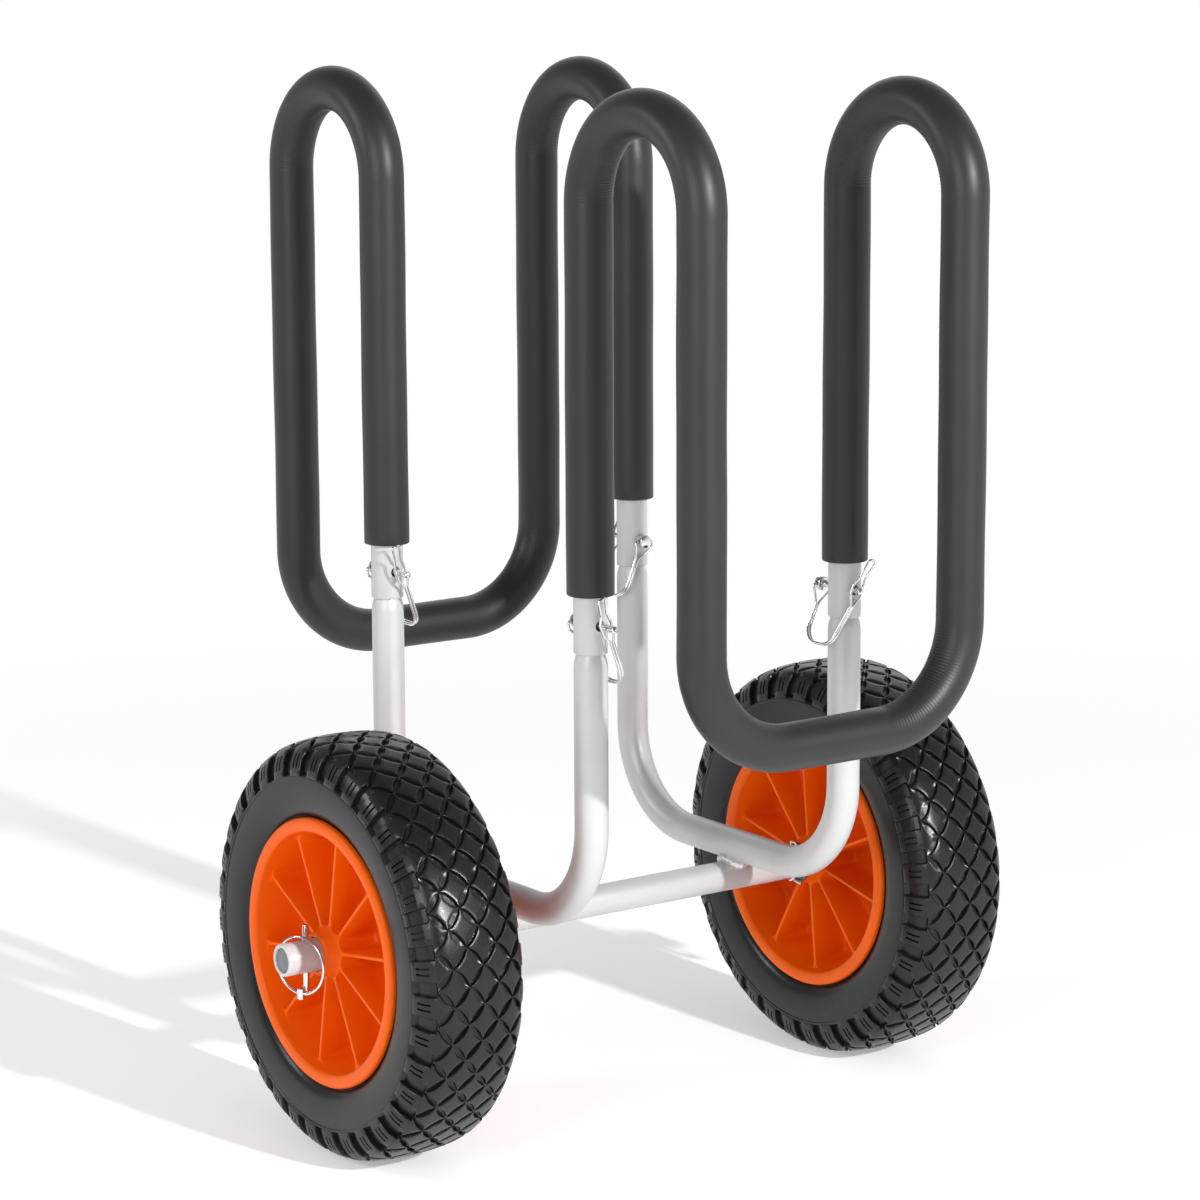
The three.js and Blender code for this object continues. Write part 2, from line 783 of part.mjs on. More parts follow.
function makeLockPins() {
  for (const [name, sideways, lengthwise, turn, hang, drawn] of lockPlaces) {
    const holder = new THREE.Group();
    holder.position.set(sideways * post.sideways, lengthwise * post.lengthwise, pinHeight);
    holder.rotation.z = turn;
    cart.add(holder);
    const wire = lockWireBody(-hang * lockWire.lean, drawn ? lockWire.stretch : 0);
    const pieces = [
      addPiece("lock_pin_" + name, lockPinBody(), finish.steel, holder),
      addPiece("lock_wire_" + name, wire, finish.steel, holder),
    ];
    for (const piece of pieces) {
      piece.position.y = drawn ? lockPin.drawn : 0;
    }
  }
}

// A linch pin through the axle, head down, for the side where outwards is +X
function linchPinBody() {
  const p = linchPin;
  const shank = turned(
    [
      [0, -p.shankDrop],
      [p.radius, -p.shankDrop],
      [p.radius, p.tipRise - p.tipChamfer],
      [p.radius - p.tipChamfer, p.tipRise],
      [0, p.tipRise],
    ],
    facets.pin,
  );
  const head = rod(along(p.headOffset, 0, -p.headBottom), along(p.headOffset, 0, -p.headTop),
    p.headRadius, facets.pin);
  const reach = p.headRadius + clearance.overrun;
  const hole = rod(ringPoint(-reach), ringPoint(reach), p.crossHoleRadius, facets.hole);
  return cutBy(joined([shank, head]), [hole]);
}

// A place on the level line through a linch pin's head along which its ring is hinged
function ringPoint(reach) {
  const height = -(linchPin.headTop + linchPin.headBottom) / 2;
  const x = linchPin.headOffset + reach * Math.sin(linchRing.turn);
  return along(x, reach * Math.cos(linchRing.turn), height);
}

// The spring ring of a linch pin, which goes round the sleeve and closes over the pin's tip
function ringRoute() {
  const { radius, steps, endGap } = linchRing;
  const foot = ringPoint(0);
  const open = Math.asin(endGap / radius);
  const stations = Array.from({ length: steps + 1 }, (_, k) => {
    const angle = open + ((2 * Math.PI - 2 * open) * k) / steps;
    const point = ringPoint(radius * Math.sin(angle));
    point.z += radius * (1 - Math.cos(angle));
    const tangent = ringPoint(Math.cos(angle)).sub(foot);
    return { point, tangent: tangent.setZ(Math.sin(angle)).normalize() };
  });
  return new Route(stations);
}

function makeLinchPins() {
  for (const [name, side] of [["left", -1], ["right", 1]]) {
    const holder = new THREE.Group();
    holder.position.set(side * (axle.sleeveEnd - linchPin.inset), 0, axleHeight);
    holder.scale.x = side;
    cart.add(holder);
    addPiece(name + "_linch_pin", linchPinBody(), finish.steel, holder);
    const wire = roundBar(ringRoute(), linchRing.wireRadius, facets.wire);
    addPiece(name + "_linch_ring", wire, finish.steel, holder);
  }
}

makeAxle();
makePostFrames();
makeLoops();
makeWheels();
makeCotterPins();
makeLockPins();
makeLinchPins();

export default cart;
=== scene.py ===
# A kayak cart dressed for the camera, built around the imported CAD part. Shapes are made in
# millimetres. X runs along the axle, the front is -Y, and +Z is up from the ground.
import bisect
import math
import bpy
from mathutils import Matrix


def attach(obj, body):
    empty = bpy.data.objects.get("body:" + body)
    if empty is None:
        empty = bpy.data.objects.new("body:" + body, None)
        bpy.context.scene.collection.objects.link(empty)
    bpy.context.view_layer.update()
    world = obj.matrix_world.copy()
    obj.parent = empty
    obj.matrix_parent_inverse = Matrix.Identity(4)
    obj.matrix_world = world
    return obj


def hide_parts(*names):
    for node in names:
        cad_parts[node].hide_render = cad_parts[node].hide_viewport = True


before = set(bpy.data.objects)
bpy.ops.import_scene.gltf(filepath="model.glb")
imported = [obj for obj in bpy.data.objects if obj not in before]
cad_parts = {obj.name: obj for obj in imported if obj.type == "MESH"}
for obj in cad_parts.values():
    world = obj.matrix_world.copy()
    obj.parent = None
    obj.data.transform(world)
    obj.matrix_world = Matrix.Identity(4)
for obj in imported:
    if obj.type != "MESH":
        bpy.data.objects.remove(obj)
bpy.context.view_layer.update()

from types import SimpleNamespace as Sizes

import bmesh
import bpy
from mathutils import Matrix, Vector

MM = 0.001
PHOTO_SIZE = 1200

# The camera that shows the cart as the photograph does
LENS_PIXELS = 3833.62
CAMERA_AZIMUTH, CAMERA_HEIGHT, CAMERA_ROLL = (math.radians(a) for a in (35.47, 10.73, -0.27))
CAMERA_TARGET = Vector((0, 0, 320))
CAMERA_DISTANCE = 2353.91
CAMERA_SLIDE = (-7.79, -4.5)

# Sizes that the CAD part has too
POST = Sizes(x=94.2, y=109.3, radius=10, bend=60, wall=1.7, collar=311.7, shoulder=9, spigot_length=46,
             low=146.8)
AXLE = Sizes(radius=9.5, wall=1.9, end=146, height=127, stub=7.2, stub_from=60, stub_to=239.8, sleeve=9.75,
             sleeve_bore=7.5, sleeve_from=146.3, sleeve_to=240.6, cotter_x=142.6, cotter_hole=1.9,
             linch_x=223.8, linch_hole=2.4)
LOOP = Sizes(top=624, cradle=267.1, span=106.4, cradle_bend=60, wall=1.4)
PAD = Sizes(radius=14, bore=10.3, end=345.8, short_extra=10, edge=0.9)
WHEEL = Sizes(x=182, bore=10.05)
SIDES = (("left", -1), ("right", 1))

# Points closer than this become one, in mm
MERGE = 0.004
# Below these a corner counts as straight (radians) and two points as one (mm)
STRAIGHT, SAME_PLACE = 1e-4, 1e-3
HOLE_SIDES = 40


# Meshes


def shown(name, data):
    """A new object in the scene"""
    made = bpy.data.objects.new(name, data)
    bpy.context.scene.collection.objects.link(made)
    return made


def repair(mesh, merge=0):
    """Turns the faces outwards, and first joins points that are closer than merge"""
    shape = bmesh.new()
    shape.from_mesh(mesh)
    if merge:
        bmesh.ops.remove_doubles(shape, verts=shape.verts, dist=merge)
        bmesh.ops.dissolve_degenerate(shape, edges=shape.edges, dist=merge / 4)
    bmesh.ops.recalc_face_normals(shape, faces=shape.faces)
    shape.to_mesh(mesh)
    shape.free()


def finished(name, verts, faces, look, body, node, sharp=38):
    """One piece of the cart from points in millimetres: its mesh, material, body and CAD node"""
    mesh = bpy.data.meshes.new(name)
    mesh.from_pydata([Vector(v) * MM for v in verts], [], faces)
    return finish_mesh(name, mesh, look, body, node, sharp)


def finish_mesh(name, mesh, look, body, node, sharp=38):
    repair(mesh, MERGE * MM)
    mesh.polygons.foreach_set("use_smooth", [True] * len(mesh.polygons))
    mesh.set_sharp_from_angle(angle=math.radians(sharp))
    mesh.materials.clear()
    mesh.materials.append(look)
    piece = shown(name, mesh)
    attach(piece, body)
    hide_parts(node)
    return piece


class Shape:
    """Points and faces gathered from several parts of one piece"""

    def __init__(self, *parts):
        self.verts = []
        self.faces = []
        for verts, faces in parts:
            self.add(verts, faces)

    def add(self, verts, faces):
        first = len(self.verts)
        self.verts += verts
        self.faces += [[first + k for k in face] for face in faces]

    def moved(self, matrix):
        return Shape(([matrix @ Vector(v) for v in self.verts], self.faces))

    def finish(self, name, matrix, *about):
        """Makes the piece at its place. about is what finished asks for after the faces."""
        made = self.moved(matrix)
        finished(name, made.verts, made.faces, *about)


def bridged(rings, closed_round=True, closed_along=False):
    """Quads between rings that have the same number of points"""
    count = len(rings[0])
    verts = [p for ring in rings for p in ring]
    faces = []
    steps = len(rings) if closed_along else len(rings) - 1
    across = count if closed_round else count - 1
    for i in range(steps):
        a, b = i * count, ((i + 1) % len(rings)) * count
        for j in range(across):
            k = (j + 1) % count
            faces.append([a + j, a + k, b + k, b + j])
    return verts, faces


def bent(corners, step=7.5):
    """Points along a route whose corners are rounded: each corner is a point and its bend radius"""
    points = [Vector(corners[0][0])]
    for k in range(1, len(corners) - 1):
        at, radius = Vector(corners[k][0]), corners[k][1]
        into = (at - Vector(corners[k - 1][0])).normalized()
        out = (Vector(corners[k + 1][0]) - at).normalized()
        turn = into.angle(out)
        if turn < STRAIGHT:
            points.append(at)
            continue
        axis = into.cross(out).normalized()
        centre = at + (out - into).normalized() * radius / math.cos(turn / 2)
        arm = at - into * radius * math.tan(turn / 2) - centre
        steps = max(2, round(math.degrees(turn) / step))
        for i in range(steps + 1):
            points.append(centre + Matrix.Rotation(turn * i / steps, 3, axis) @ arm)
    points.append(Vector(corners[-1][0]))
    kept = [points[0]]
    for p in points[1:]:
        if (p - kept[-1]).length > SAME_PLACE:
            kept.append(p)
    return kept


def divided(points, longest):
    """The same route with its long runs cut into even lengths"""
    made = [points[0]]
    for a, b in zip(points, points[1:]):
        parts = max(1, math.ceil((b - a).length / longest - 1e-6))
        made += [a.lerp(b, i / parts) for i in range(1, parts + 1)]
    return made


def lengths_along(points):
    """How far along a route each of its points is"""
    made = [0]
    for a, b in zip(points, points[1:]):
        made.append(made[-1] + (b - a).length)
    return made


def frames_along(points, start=None, closed=False):
    """Two normals at each point of a route, turned as little as possible from point to point"""
    count = len(points)
    tangents = []
    for i in range(count):
        before = points[i - 1] if i or closed else points[i]
        after = points[(i + 1) % count] if i + 1 < count or closed else points[i]
        into = (points[i] - before).normalized() if before != points[i] else Vector()
        out = (after - points[i]).normalized() if after != points[i] else Vector()
        tangents.append((into + out).normalized())
    side = start or tangents[0].orthogonal()
    frames = []
    for t in tangents:
        side = (side - t * side.dot(t)).normalized()
        frames.append((side, t.cross(side)))
    return frames


def sections(points, radius, sides, start=None, closed=False, bulge=None):
    """A round section at each point of a route. bulge gives an extra radius for a place."""
    rings = []
    frames = frames_along(points, start, closed)
    for i, (p, (a, b)) in enumerate(zip(points, frames)):
        ring = []
        r = radius[i] if isinstance(radius, list) else radius
        for j in range(sides):
            angle = 2 * math.pi * j / sides
            out = a * math.cos(angle) + b * math.sin(angle)
            ring.append(p + out * (r + (bulge(i, out) if bulge else 0)))
        rings.append(ring)
    return rings


def capped(rings):
    """A closed body from rings: quads between them and a fan at each end"""
    verts, faces = bridged(rings)
    count = len(rings[0])
    for ring, first in ((rings[0], 0), (rings[-1], (len(rings) - 1) * count)):
        middle = len(verts)
        verts.append(sum(ring, Vector()) / count)
        faces += [[first + j, first + (j + 1) % count, middle] for j in range(count)]
    return verts, faces


def round_ends(points, radius, edge, steps=3):
    """Route points and radii of a bar whose two ends are rounded over by edge"""
    def end(tip, inward):
        made = []
        for i in range(steps + 1):
            a = math.pi / 2 * i / steps
            made.append((tip + inward * edge * (1 - math.sin(a)), radius - edge * (1 - math.cos(a))))
        return made
    head = end(points[0], (points[1] - points[0]).normalized())[::-1]
    tail = end(points[-1], (points[-2] - points[-1]).normalized())
    places = head + [(p, radius) for p in points[1:-1]] + tail
    return [p for p, _ in places], [r for _, r in places]


def bar(points, radius, sides, edge):
    route, radii = round_ends(points, radius, edge)
    return capped(sections(route, radii, sides))


def sleeve(points, outer, inner, sides, edge, start=None, bulge=None, core=None):
    """A tube with rounded rims at both ends. Its bore can follow a coarser route of its own."""
    route, radii = round_ends(points, outer, edge)
    lead = (len(route) - len(points)) // 2
    shifted = bulge and (lambda i, out: bulge(i - lead, out))
    outside = sections(route, radii, sides, start, bulge=shifted)
    half = edge / 2
    core = core or points
    bore = [inner + half, *[inner] * len(core), inner + half]
    along = (core[1] - core[0]).normalized()
    back = (core[-2] - core[-1]).normalized()
    inside_route = [core[0], core[0] + along * half, *core[1:-1], core[-1] + back * half, core[-1]]
    inside = sections(inside_route, bore, sides, start)
    return bridged([*outside, *inside[::-1]], closed_along=True)


def turned(profile, sides, centre=(0, 0, 0), axis="Z", closed=False):
    """A solid of revolution from points of (radius, place along the axis)"""
    rings = []
    for radius, place in profile:
        ring = []
        for j in range(sides):
            a = 2 * math.pi * j / sides
            c, s = radius * math.cos(a), radius * math.sin(a)
            spot = {"X": (place, c, s), "Y": (s, place, c), "Z": (c, s, place)}[axis]
            ring.append(Vector(centre) + Vector(spot))
        rings.append(ring)
    return bridged(rings, closed_along=True) if closed else capped(rings)


def cut(verts, faces, holes):
    """The mesh of a body less some round holes, each a start, an end and a radius"""
    def thing(points, polygons):
        mesh = bpy.data.meshes.new("cutting")
        mesh.from_pydata([Vector(v) for v in points], [], polygons)
        repair(mesh)
        return shown("cutting", mesh)

    whole = thing(verts, faces)
    cutters = [thing(*capped(sections([Vector(a), Vector(b)], r, HOLE_SIDES))) for a, b, r in holes]
    for cutter in cutters:
        step = whole.modifiers.new("hole", "BOOLEAN")
        step.operation = "DIFFERENCE"
        step.solver = "EXACT"
        step.object = cutter
    depsgraph = bpy.context.evaluated_depsgraph_get()
    mesh = bpy.data.meshes.new_from_object(whole.evaluated_get(depsgraph))
    mesh.transform(Matrix.Scale(MM, 4))
    for used in [whole, *cutters]:
        bpy.data.objects.remove(used)
    return mesh


# Materials


def mixed(tree, kind, **values):
    """A new node with some of its properties and inputs set"""
    made = tree.nodes.new(kind)
    for name, value in values.items():
        if hasattr(made, name):
            setattr(made, name, value)
        else:
            made.inputs[name.replace("_", " ")].default_value = value
    return made


def ranged(tree, value, limits):
    """A value mapped from one range to another, limits being both ranges"""
    made = tree.nodes.new("ShaderNodeMapRange")
    for socket, limit in zip(("From Min", "From Max", "To Min", "To Max"), limits):
        made.inputs[socket].default_value = limit
    tree.links.new(value, made.inputs["Value"])
    return made.outputs["Result"]


# The part of a noise's range that is in use
NOISE = (0.3, 0.7)


def surface(name, colour, deep, roughness, rough_range=0.06, metallic=0.0, spot=60, grain=900,
            bump=0.1, relief=0.05, specular=0.5):
    """A material whose colour and gloss vary a little and whose surface has a fine grain"""
    made = bpy.data.materials.new(name)
    made.use_nodes = True
    tree = made.node_tree
    link = tree.links.new
    shader = tree.nodes["Principled BSDF"]
    shader.inputs["Metallic"].default_value = metallic
    shader.inputs["Specular IOR Level"].default_value = specular
    place = tree.nodes.new("ShaderNodeTexCoord")
    patches = mixed(tree, "ShaderNodeTexNoise", Scale=spot, Detail=4.0, Roughness=0.6)
    fine = mixed(tree, "ShaderNodeTexNoise", Scale=grain, Detail=3.0, Roughness=0.55)
    for texture in (patches, fine):
        link(place.outputs["Object"], texture.inputs["Vector"])
    ramp = tree.nodes.new("ShaderNodeValToRGB")
    for element, position, tint in zip(ramp.color_ramp.elements, NOISE, (deep, colour)):
        element.position = position
        element.color = (*tint, 1)
    link(patches.outputs["Fac"], ramp.inputs["Fac"])
    link(ramp.outputs["Color"], shader.inputs["Base Color"])
    limits = (*NOISE, roughness - rough_range, roughness + rough_range)
    link(ranged(tree, fine.outputs["Fac"], limits), shader.inputs["Roughness"])
    grained = mixed(tree, "ShaderNodeBump", Strength=bump, Distance=relief * MM)
    link(fine.outputs["Fac"], grained.inputs["Height"])
    link(grained.outputs["Normal"], shader.inputs["Normal"])
    return made


def shaded_along(made, begin, end, inner=None, outer=None):
    """Change a material's colour from one distance off the cart's middle to another, in mm"""
    tree = made.node_tree
    link = tree.links.new
    ramp = next(n for n in tree.nodes if n.bl_idname == "ShaderNodeValToRGB")
    place = next(n for n in tree.nodes if n.bl_idname == "ShaderNodeTexCoord")
    parts = tree.nodes.new("ShaderNodeSeparateXYZ")
    away = mixed(tree, "ShaderNodeMath", operation="ABSOLUTE")
    blend = tree.nodes.new("ShaderNodeMix")
    blend.data_type = "RGBA"
    link(place.outputs["Object"], parts.inputs["Vector"])
    link(parts.outputs["X"], away.inputs[0])
    link(ranged(tree, away.outputs["Value"], (begin * MM, end * MM, 0, 1)), blend.inputs["Factor"])
    tints = [socket for socket in blend.inputs if socket.type == "RGBA"]
    for socket, tint in zip(tints, (inner, outer)):
        if tint:
            socket.default_value = (*tint, 1)
        else:
            link(ramp.outputs["Color"], socket)
    result = next(socket for socket in blend.outputs if socket.type == "RGBA")
    link(result, tree.nodes["Principled BSDF"].inputs["Base Color"])


ALUMINIUM = surface("satin_aluminium_tube", (0.60, 0.602, 0.605),
                    (0.56, 0.562, 0.566), 0.44, 0.05, metallic=0.25, spot=25, grain=1400, bump=0.12,
                    relief=0.03, specular=0.4)
ROD = surface("bare_axle_rod", (0.72, 0.72, 0.73), (0.66, 0.66, 0.67), 0.4, 0.06,
              metallic=0.4, spot=90, grain=1400)
# Past 239.2 mm from the middle, the rod's end face is painted dark: painted shade of the end sunk inside the
# sleeve's bore.
shaded_along(ROD, 239.2, 239.4, outer=(0.20, 0.205, 0.21))
WELD = surface("weld_bead", (0.80, 0.80, 0.80), (0.66, 0.66, 0.66), 0.3, 0.08,
               metallic=0.5, spot=300, grain=1200, bump=0.3, relief=0.06)
FOAM = surface("closed_cell_foam", (0.017, 0.0171, 0.0177), (0.0125, 0.0126, 0.0131), 0.45, 0.05,
               spot=18, grain=1500, bump=0.25, relief=0.05, specular=0.5)
RIM = surface("orange_rim_plastic", (0.87, 0.122, 0.001), (0.81, 0.108, 0.001), 0.36, 0.05,
              spot=14, grain=700, bump=0.06, relief=0.04, specular=0.18)
RUBBER = surface("tyre_rubber_black", (0.008, 0.008, 0.0084), (0.005, 0.005, 0.0053),
                 0.32, 0.06, spot=40, grain=1100, bump=0.25, relief=0.05, specular=0.42)
STEEL = surface("bright_plated_steel", (0.80, 0.805, 0.81), (0.74, 0.745, 0.75), 0.13, 0.04,
                metallic=1.0, spot=200, grain=900, bump=0.03, relief=0.01)
DARK_STEEL = surface("dull_plated_steel", (0.20, 0.20, 0.21), (0.12, 0.12, 0.125), 0.34, 0.08,
                     metallic=1.0, spot=200, grain=1500, bump=0.15, relief=0.03)
# Whiter near the outer ends of the wheel sleeves. Further in, beside the hub, the colour is painted darker
# and warm: painted shade with painted orange light reflected from the rim
NYLON = surface("sleeve_nylon", (0.64, 0.645, 0.65), (0.58, 0.58, 0.59), 0.3, spot=45, grain=500)
NYLON_INPUTS = NYLON.node_tree.nodes["Principled BSDF"].inputs
NYLON_INPUTS["Subsurface Weight"].default_value = 0.15
NYLON_INPUTS["Subsurface Radius"].default_value = (0.002, 0.0015, 0.0012)
shaded_along(NYLON, 232.5, 234.5, inner=(0.46, 0.39, 0.38))


# Tubes


def make_post_frames():
    p = POST
    shoulder = p.collar - p.shoulder
    tip = p.shoulder + p.spigot_length
    # height over the shoulder, and how much thinner the tube is there
    neck = [(0, 0), (2.6, -0.12), (5.2, -0.62), (7.4, -1.28), (8.6, -1.7), (9.3, -1.8), (tip - 0.6, -1.8),
            (tip, -2.3)]
    for name, side in SIDES:
        x = side * p.x
        run = bent([((x, p.y, shoulder), 0), ((x, p.y, p.low), p.bend),
                    ((x, -p.y, p.low), p.bend), ((x, -p.y, shoulder), 0)], 5)
        up = Vector((0, 0, 1))
        first = [(run[0] + up * z, p.radius + dr) for z, dr in neck[::-1]]
        last = [(run[-1] + up * z, p.radius + dr) for z, dr in neck]
        places = first + [(q, p.radius) for q in run[1:-1]] + last
        route = [q for q, _ in places]
        outside = sections(route, [r for _, r in places], 48)
        inside = sections(route, [min(r, p.radius) - p.wall for _, r in places], 48)
        verts, faces = bridged([*outside, *inside[::-1]], closed_along=True)
        mesh = cut(verts, faces, [lock_hole(x, y) for y in (-p.y, p.y)])
        finish_mesh(name + "_post_frame_tube", mesh, ALUMINIUM, "frame", name + "_post_frame")
        make_weld(name, x)


LOCK_HEIGHT = 328.7
LOCK_HOLE = 3.2
# How far a hole's cutter reaches from the post's axis
CUT_REACH = 14


def lock_hole(x, y):
    return (x, y - CUT_REACH, LOCK_HEIGHT), (x, y + CUT_REACH, LOCK_HEIGHT), LOCK_HOLE


def make_weld(name, x):
    """The weld where a post frame crosses the axle: one rippled bead round the saddle"""
    reach, radius, ripples, ripple_height, sides = 7.4, 2.75, 17, 0.38, 20
    steps = ripples * 8
    route, radii = [], []
    for i in range(steps):
        a = 2 * math.pi * i / steps
        px, py = reach * math.cos(a), reach * math.sin(a)
        low = AXLE.height + math.sqrt(AXLE.radius ** 2 - py ** 2)
        high = POST.low - math.sqrt(POST.radius ** 2 - px ** 2)
        ripple = abs(math.sin(ripples * a / 2))
        wobble = 0.16 * math.sin(3 * a + 0.6) + 0.1 * math.sin(5 * a + 2.1)
        route.append(Vector((x + px, py, (low + high) / 2)))
        radii.append(radius + ripple_height * ripple + wobble)
    rings = sections(route, radii, sides, Vector((0, 0, 1)), closed=True)
    bead = bridged(rings, closed_along=True)
    finished(name + "_frame_weld_bead", *bead, WELD, "frame", name + "_frame_weld")


def make_axle():
    a = AXLE
    line = [Vector((-a.end, 0, a.height)), Vector((a.end, 0, a.height))]
    reach = a.sleeve + 4

    def upright(x, radius):
        return (x, 0, a.height - reach), (x, 0, a.height + reach), radius

    verts, faces = sleeve(line, a.radius, a.radius - a.wall, 56, 0.5)
    mesh = cut(verts, faces, [upright(side * a.cotter_x, a.cotter_hole) for _, side in SIDES])
    finish_mesh("axle_tube_outer", mesh, ALUMINIUM, "frame", "axle_tube")
    for name, side in SIDES:
        cotter = upright(side * a.cotter_x, a.cotter_hole)
        linch = upright(side * a.linch_x, a.linch_hole)
        rod = [Vector((side * x, 0, a.height)) for x in (a.stub_from, a.stub_to)]
        mesh = cut(*bar(rod, a.stub, 48, 0.7), [cotter, linch])
        finish_mesh(name + "_axle_rod", mesh, ROD, "frame", name + "_axle_stub")
        cover = [Vector((side * x, 0, a.height)) for x in (a.sleeve_from, a.sleeve_to)]
        mesh = cut(*sleeve(cover, a.sleeve, a.sleeve_bore, 56, 0.8), [linch])
        finish_mesh(name + "_sleeve", mesh, NYLON, "frame", name + "_wheel_sleeve")


def loop_route(sign, left_end, right_end, longest, step):
    """Up a post, over a hoop, down, across under the board and back. sign is -1 for the front."""
    x, y = POST.x, POST.y
    hoop = LOOP.span / 2
    outer = y + LOOP.span
    corners = [((-x, y, left_end), 0), ((-x, y, LOOP.top), hoop), ((-x, outer, LOOP.top), hoop),
               ((-x, outer, LOOP.cradle), LOOP.cradle_bend),
               ((x, outer, LOOP.cradle), LOOP.cradle_bend),
               ((x, outer, LOOP.top), hoop), ((x, y, LOOP.top), hoop), ((x, y, right_end), 0)]
    turned_over = [((px, sign * py, pz), bend) for (px, py, pz), bend in corners]
    return divided(bent(turned_over, step), longest)


# The longest straight step in mm and the steps of the bends in degrees: for tubes, and for the foam
COARSE = (40, 6)
FINE = (10, 0.6)
CREASE_PITCH = 2.35


def make_loops():
    for name, sign in (("front", -1), ("rear", 1)):
        low = POST.collar
        route = loop_route(sign, low, low, *COARSE)
        verts, faces = sleeve(route, POST.radius, POST.radius - LOOP.wall, 40, 0.45)
        mesh = cut(verts, faces, [lock_hole(x, sign * POST.y) for x in (-POST.x, POST.x)])
        finish_mesh(name + "_cradle_tube", mesh, ALUMINIUM, "frame", name + "_loop_tube")
        make_pad(name, sign)


def make_pad(name, sign):
    """The foam sleeve of a cradle loop, with small creases inside its bends"""
    extra = PAD.short_extra if sign > 0 else 0
    route, core = [loop_route(sign, PAD.end, PAD.end + extra, *steps) for steps in (FINE, COARSE)]
    lengths = lengths_along(route)
    inward = []
    for i, p in enumerate(route):
        if 0 < i < len(route) - 1:
            bend = (route[i + 1] - p).normalized() - (p - route[i - 1]).normalized()
            inward.append(bend / ((route[i + 1] - route[i - 1]).length / 2))
        else:
            inward.append(Vector())
    smooth = []
    window = 9
    for i in range(len(route)):
        near = inward[max(0, i - window):i + window + 1]
        smooth.append(sum(near, Vector()) / len(near))

    def bulge(i, out):
        i = min(max(i, 0), len(route) - 1)
        sharpness = smooth[i].length
        s = lengths[i]
        slow = 0.10 * math.sin(s / 31 + out.x * 1.7) + 0.08 * math.sin(s / 13.7 + out.z * 2 + sign)
        if sharpness < STRAIGHT:
            return slow
        facing = max(0.0, out.dot(smooth[i] / sharpness) + 0.1) / 1.1
        depth = 0.46 * min(1, sharpness * 50) * facing ** 1.3
        drift = 0.9 * math.sin(s / 9.3 + 2 * out.x) + 0.7 * math.sin(s / 5.1 + 3 * out.z)
        crease = math.sin(2 * math.pi * s / CREASE_PITCH + drift)
        patch = 0.6 + 0.4 * math.sin(s / 17 + 4 * out.x + sign)
        return slow - depth * patch * (0.5 + 0.5 * crease)

    verts, faces = sleeve(route, PAD.radius, PAD.bore, 40, PAD.edge, Vector((1, 0, 0)), bulge, core)
    pad = finished(name + "_foam_sleeve", verts, faces, FOAM, "frame", name + "_loop_pad", 50)


# Wheels

# Radii and places across the rim, from its middle plane
RIM_SIZES = Sizes(seat=75, seat_half=26.5, flange=81.1, flange_back=30.5, lip=72.6, lip_at=32.0, root=66,
                  web=2.5, level=27, boss_shoulder=15.8, boss_root=17, hub_half=35.4)
RIBS = 10
TREAD_COUNT = 35
# How ribs and tread are turned, in degrees, as in the photograph but for 3 degrees of the right tread
RIB_TURN = {"left": 8.4, "right": 24.0}
TREAD_TURN = {"left": 48.857, "right": 59.143}


def on_axle(x):
    return Matrix.Translation((x, 0, AXLE.height))


def barrel_radius(level):
    r = RIM_SIZES
    return r.root + (r.lip - r.root) * (level - r.web) / (r.lip_at - r.web)


def boss_radius(level):
    r = RIM_SIZES
    rise = (r.boss_shoulder - r.boss_root) * (level - r.web)
    return r.boss_root + rise / (r.level - r.web)


# Steps along the parts of a hollow's outline, and where its right side ends
ARC_STEPS, CORNER_STEPS, SIDE_STEPS, HUB_STEPS = 8, 5, 5, 4
SIDE_END = ARC_STEPS + 2 * CORNER_STEPS + SIDE_STEPS


def pocket_outline(level, rib_half, outer_corner, inner_corner, shrink=0.0):
    """Outline of the hollow between two ribs at one depth, as points (radius, angle from its middle):
    the outer arc, the right side from outside to inside, the hub arc and the left side"""
    outer = barrel_radius(level) - shrink
    inner = boss_radius(level) + shrink
    half = rib_half + shrink
    rib = math.pi / RIBS
    out_angle = math.asin((half + outer_corner) / (outer - outer_corner))
    in_angle = math.asin((half + inner_corner) / (inner + inner_corner))

    def polar(along, aside):
        return math.hypot(along, aside), rib - math.atan2(aside, along)

    arc = [(outer, (rib - out_angle) * (2 * i / ARC_STEPS - 1)) for i in range(ARC_STEPS + 1)]
    start = (outer - outer_corner) * math.cos(out_angle)
    end = (inner + inner_corner) * math.cos(in_angle)
    side = []
    for i in range(1, CORNER_STEPS + 1):
        a = out_angle + (-math.pi / 2 - out_angle) * i / CORNER_STEPS
        side.append(polar(start + outer_corner * math.cos(a),
                          half + outer_corner + outer_corner * math.sin(a)))
    for i in range(1, SIDE_STEPS):
        side.append(polar(start + (end - start) * i / SIDE_STEPS, half))
    for i in range(CORNER_STEPS + 1):
        a = -math.pi / 2 + (in_angle - math.pi / 2) * i / CORNER_STEPS
        side.append(polar(end + inner_corner * math.cos(a),
                          half + inner_corner + inner_corner * math.sin(a)))
    reach = rib - in_angle
    hub = [(inner, reach * (1 - 2 * i / HUB_STEPS)) for i in range(1, HUB_STEPS)]
    left = [(r, -a) for r, a in side[::-1]]
    return arc + side + hub + left


def rim_point(turn, radius, angle, place):
    a = angle + turn
    return Vector((place, -radius * math.cos(a), radius * math.sin(a)))


# A hollow at its mouth: half the rib beside it, and its outer and inner corner radius
MOUTH = (0.75, 4.2, 2.9)


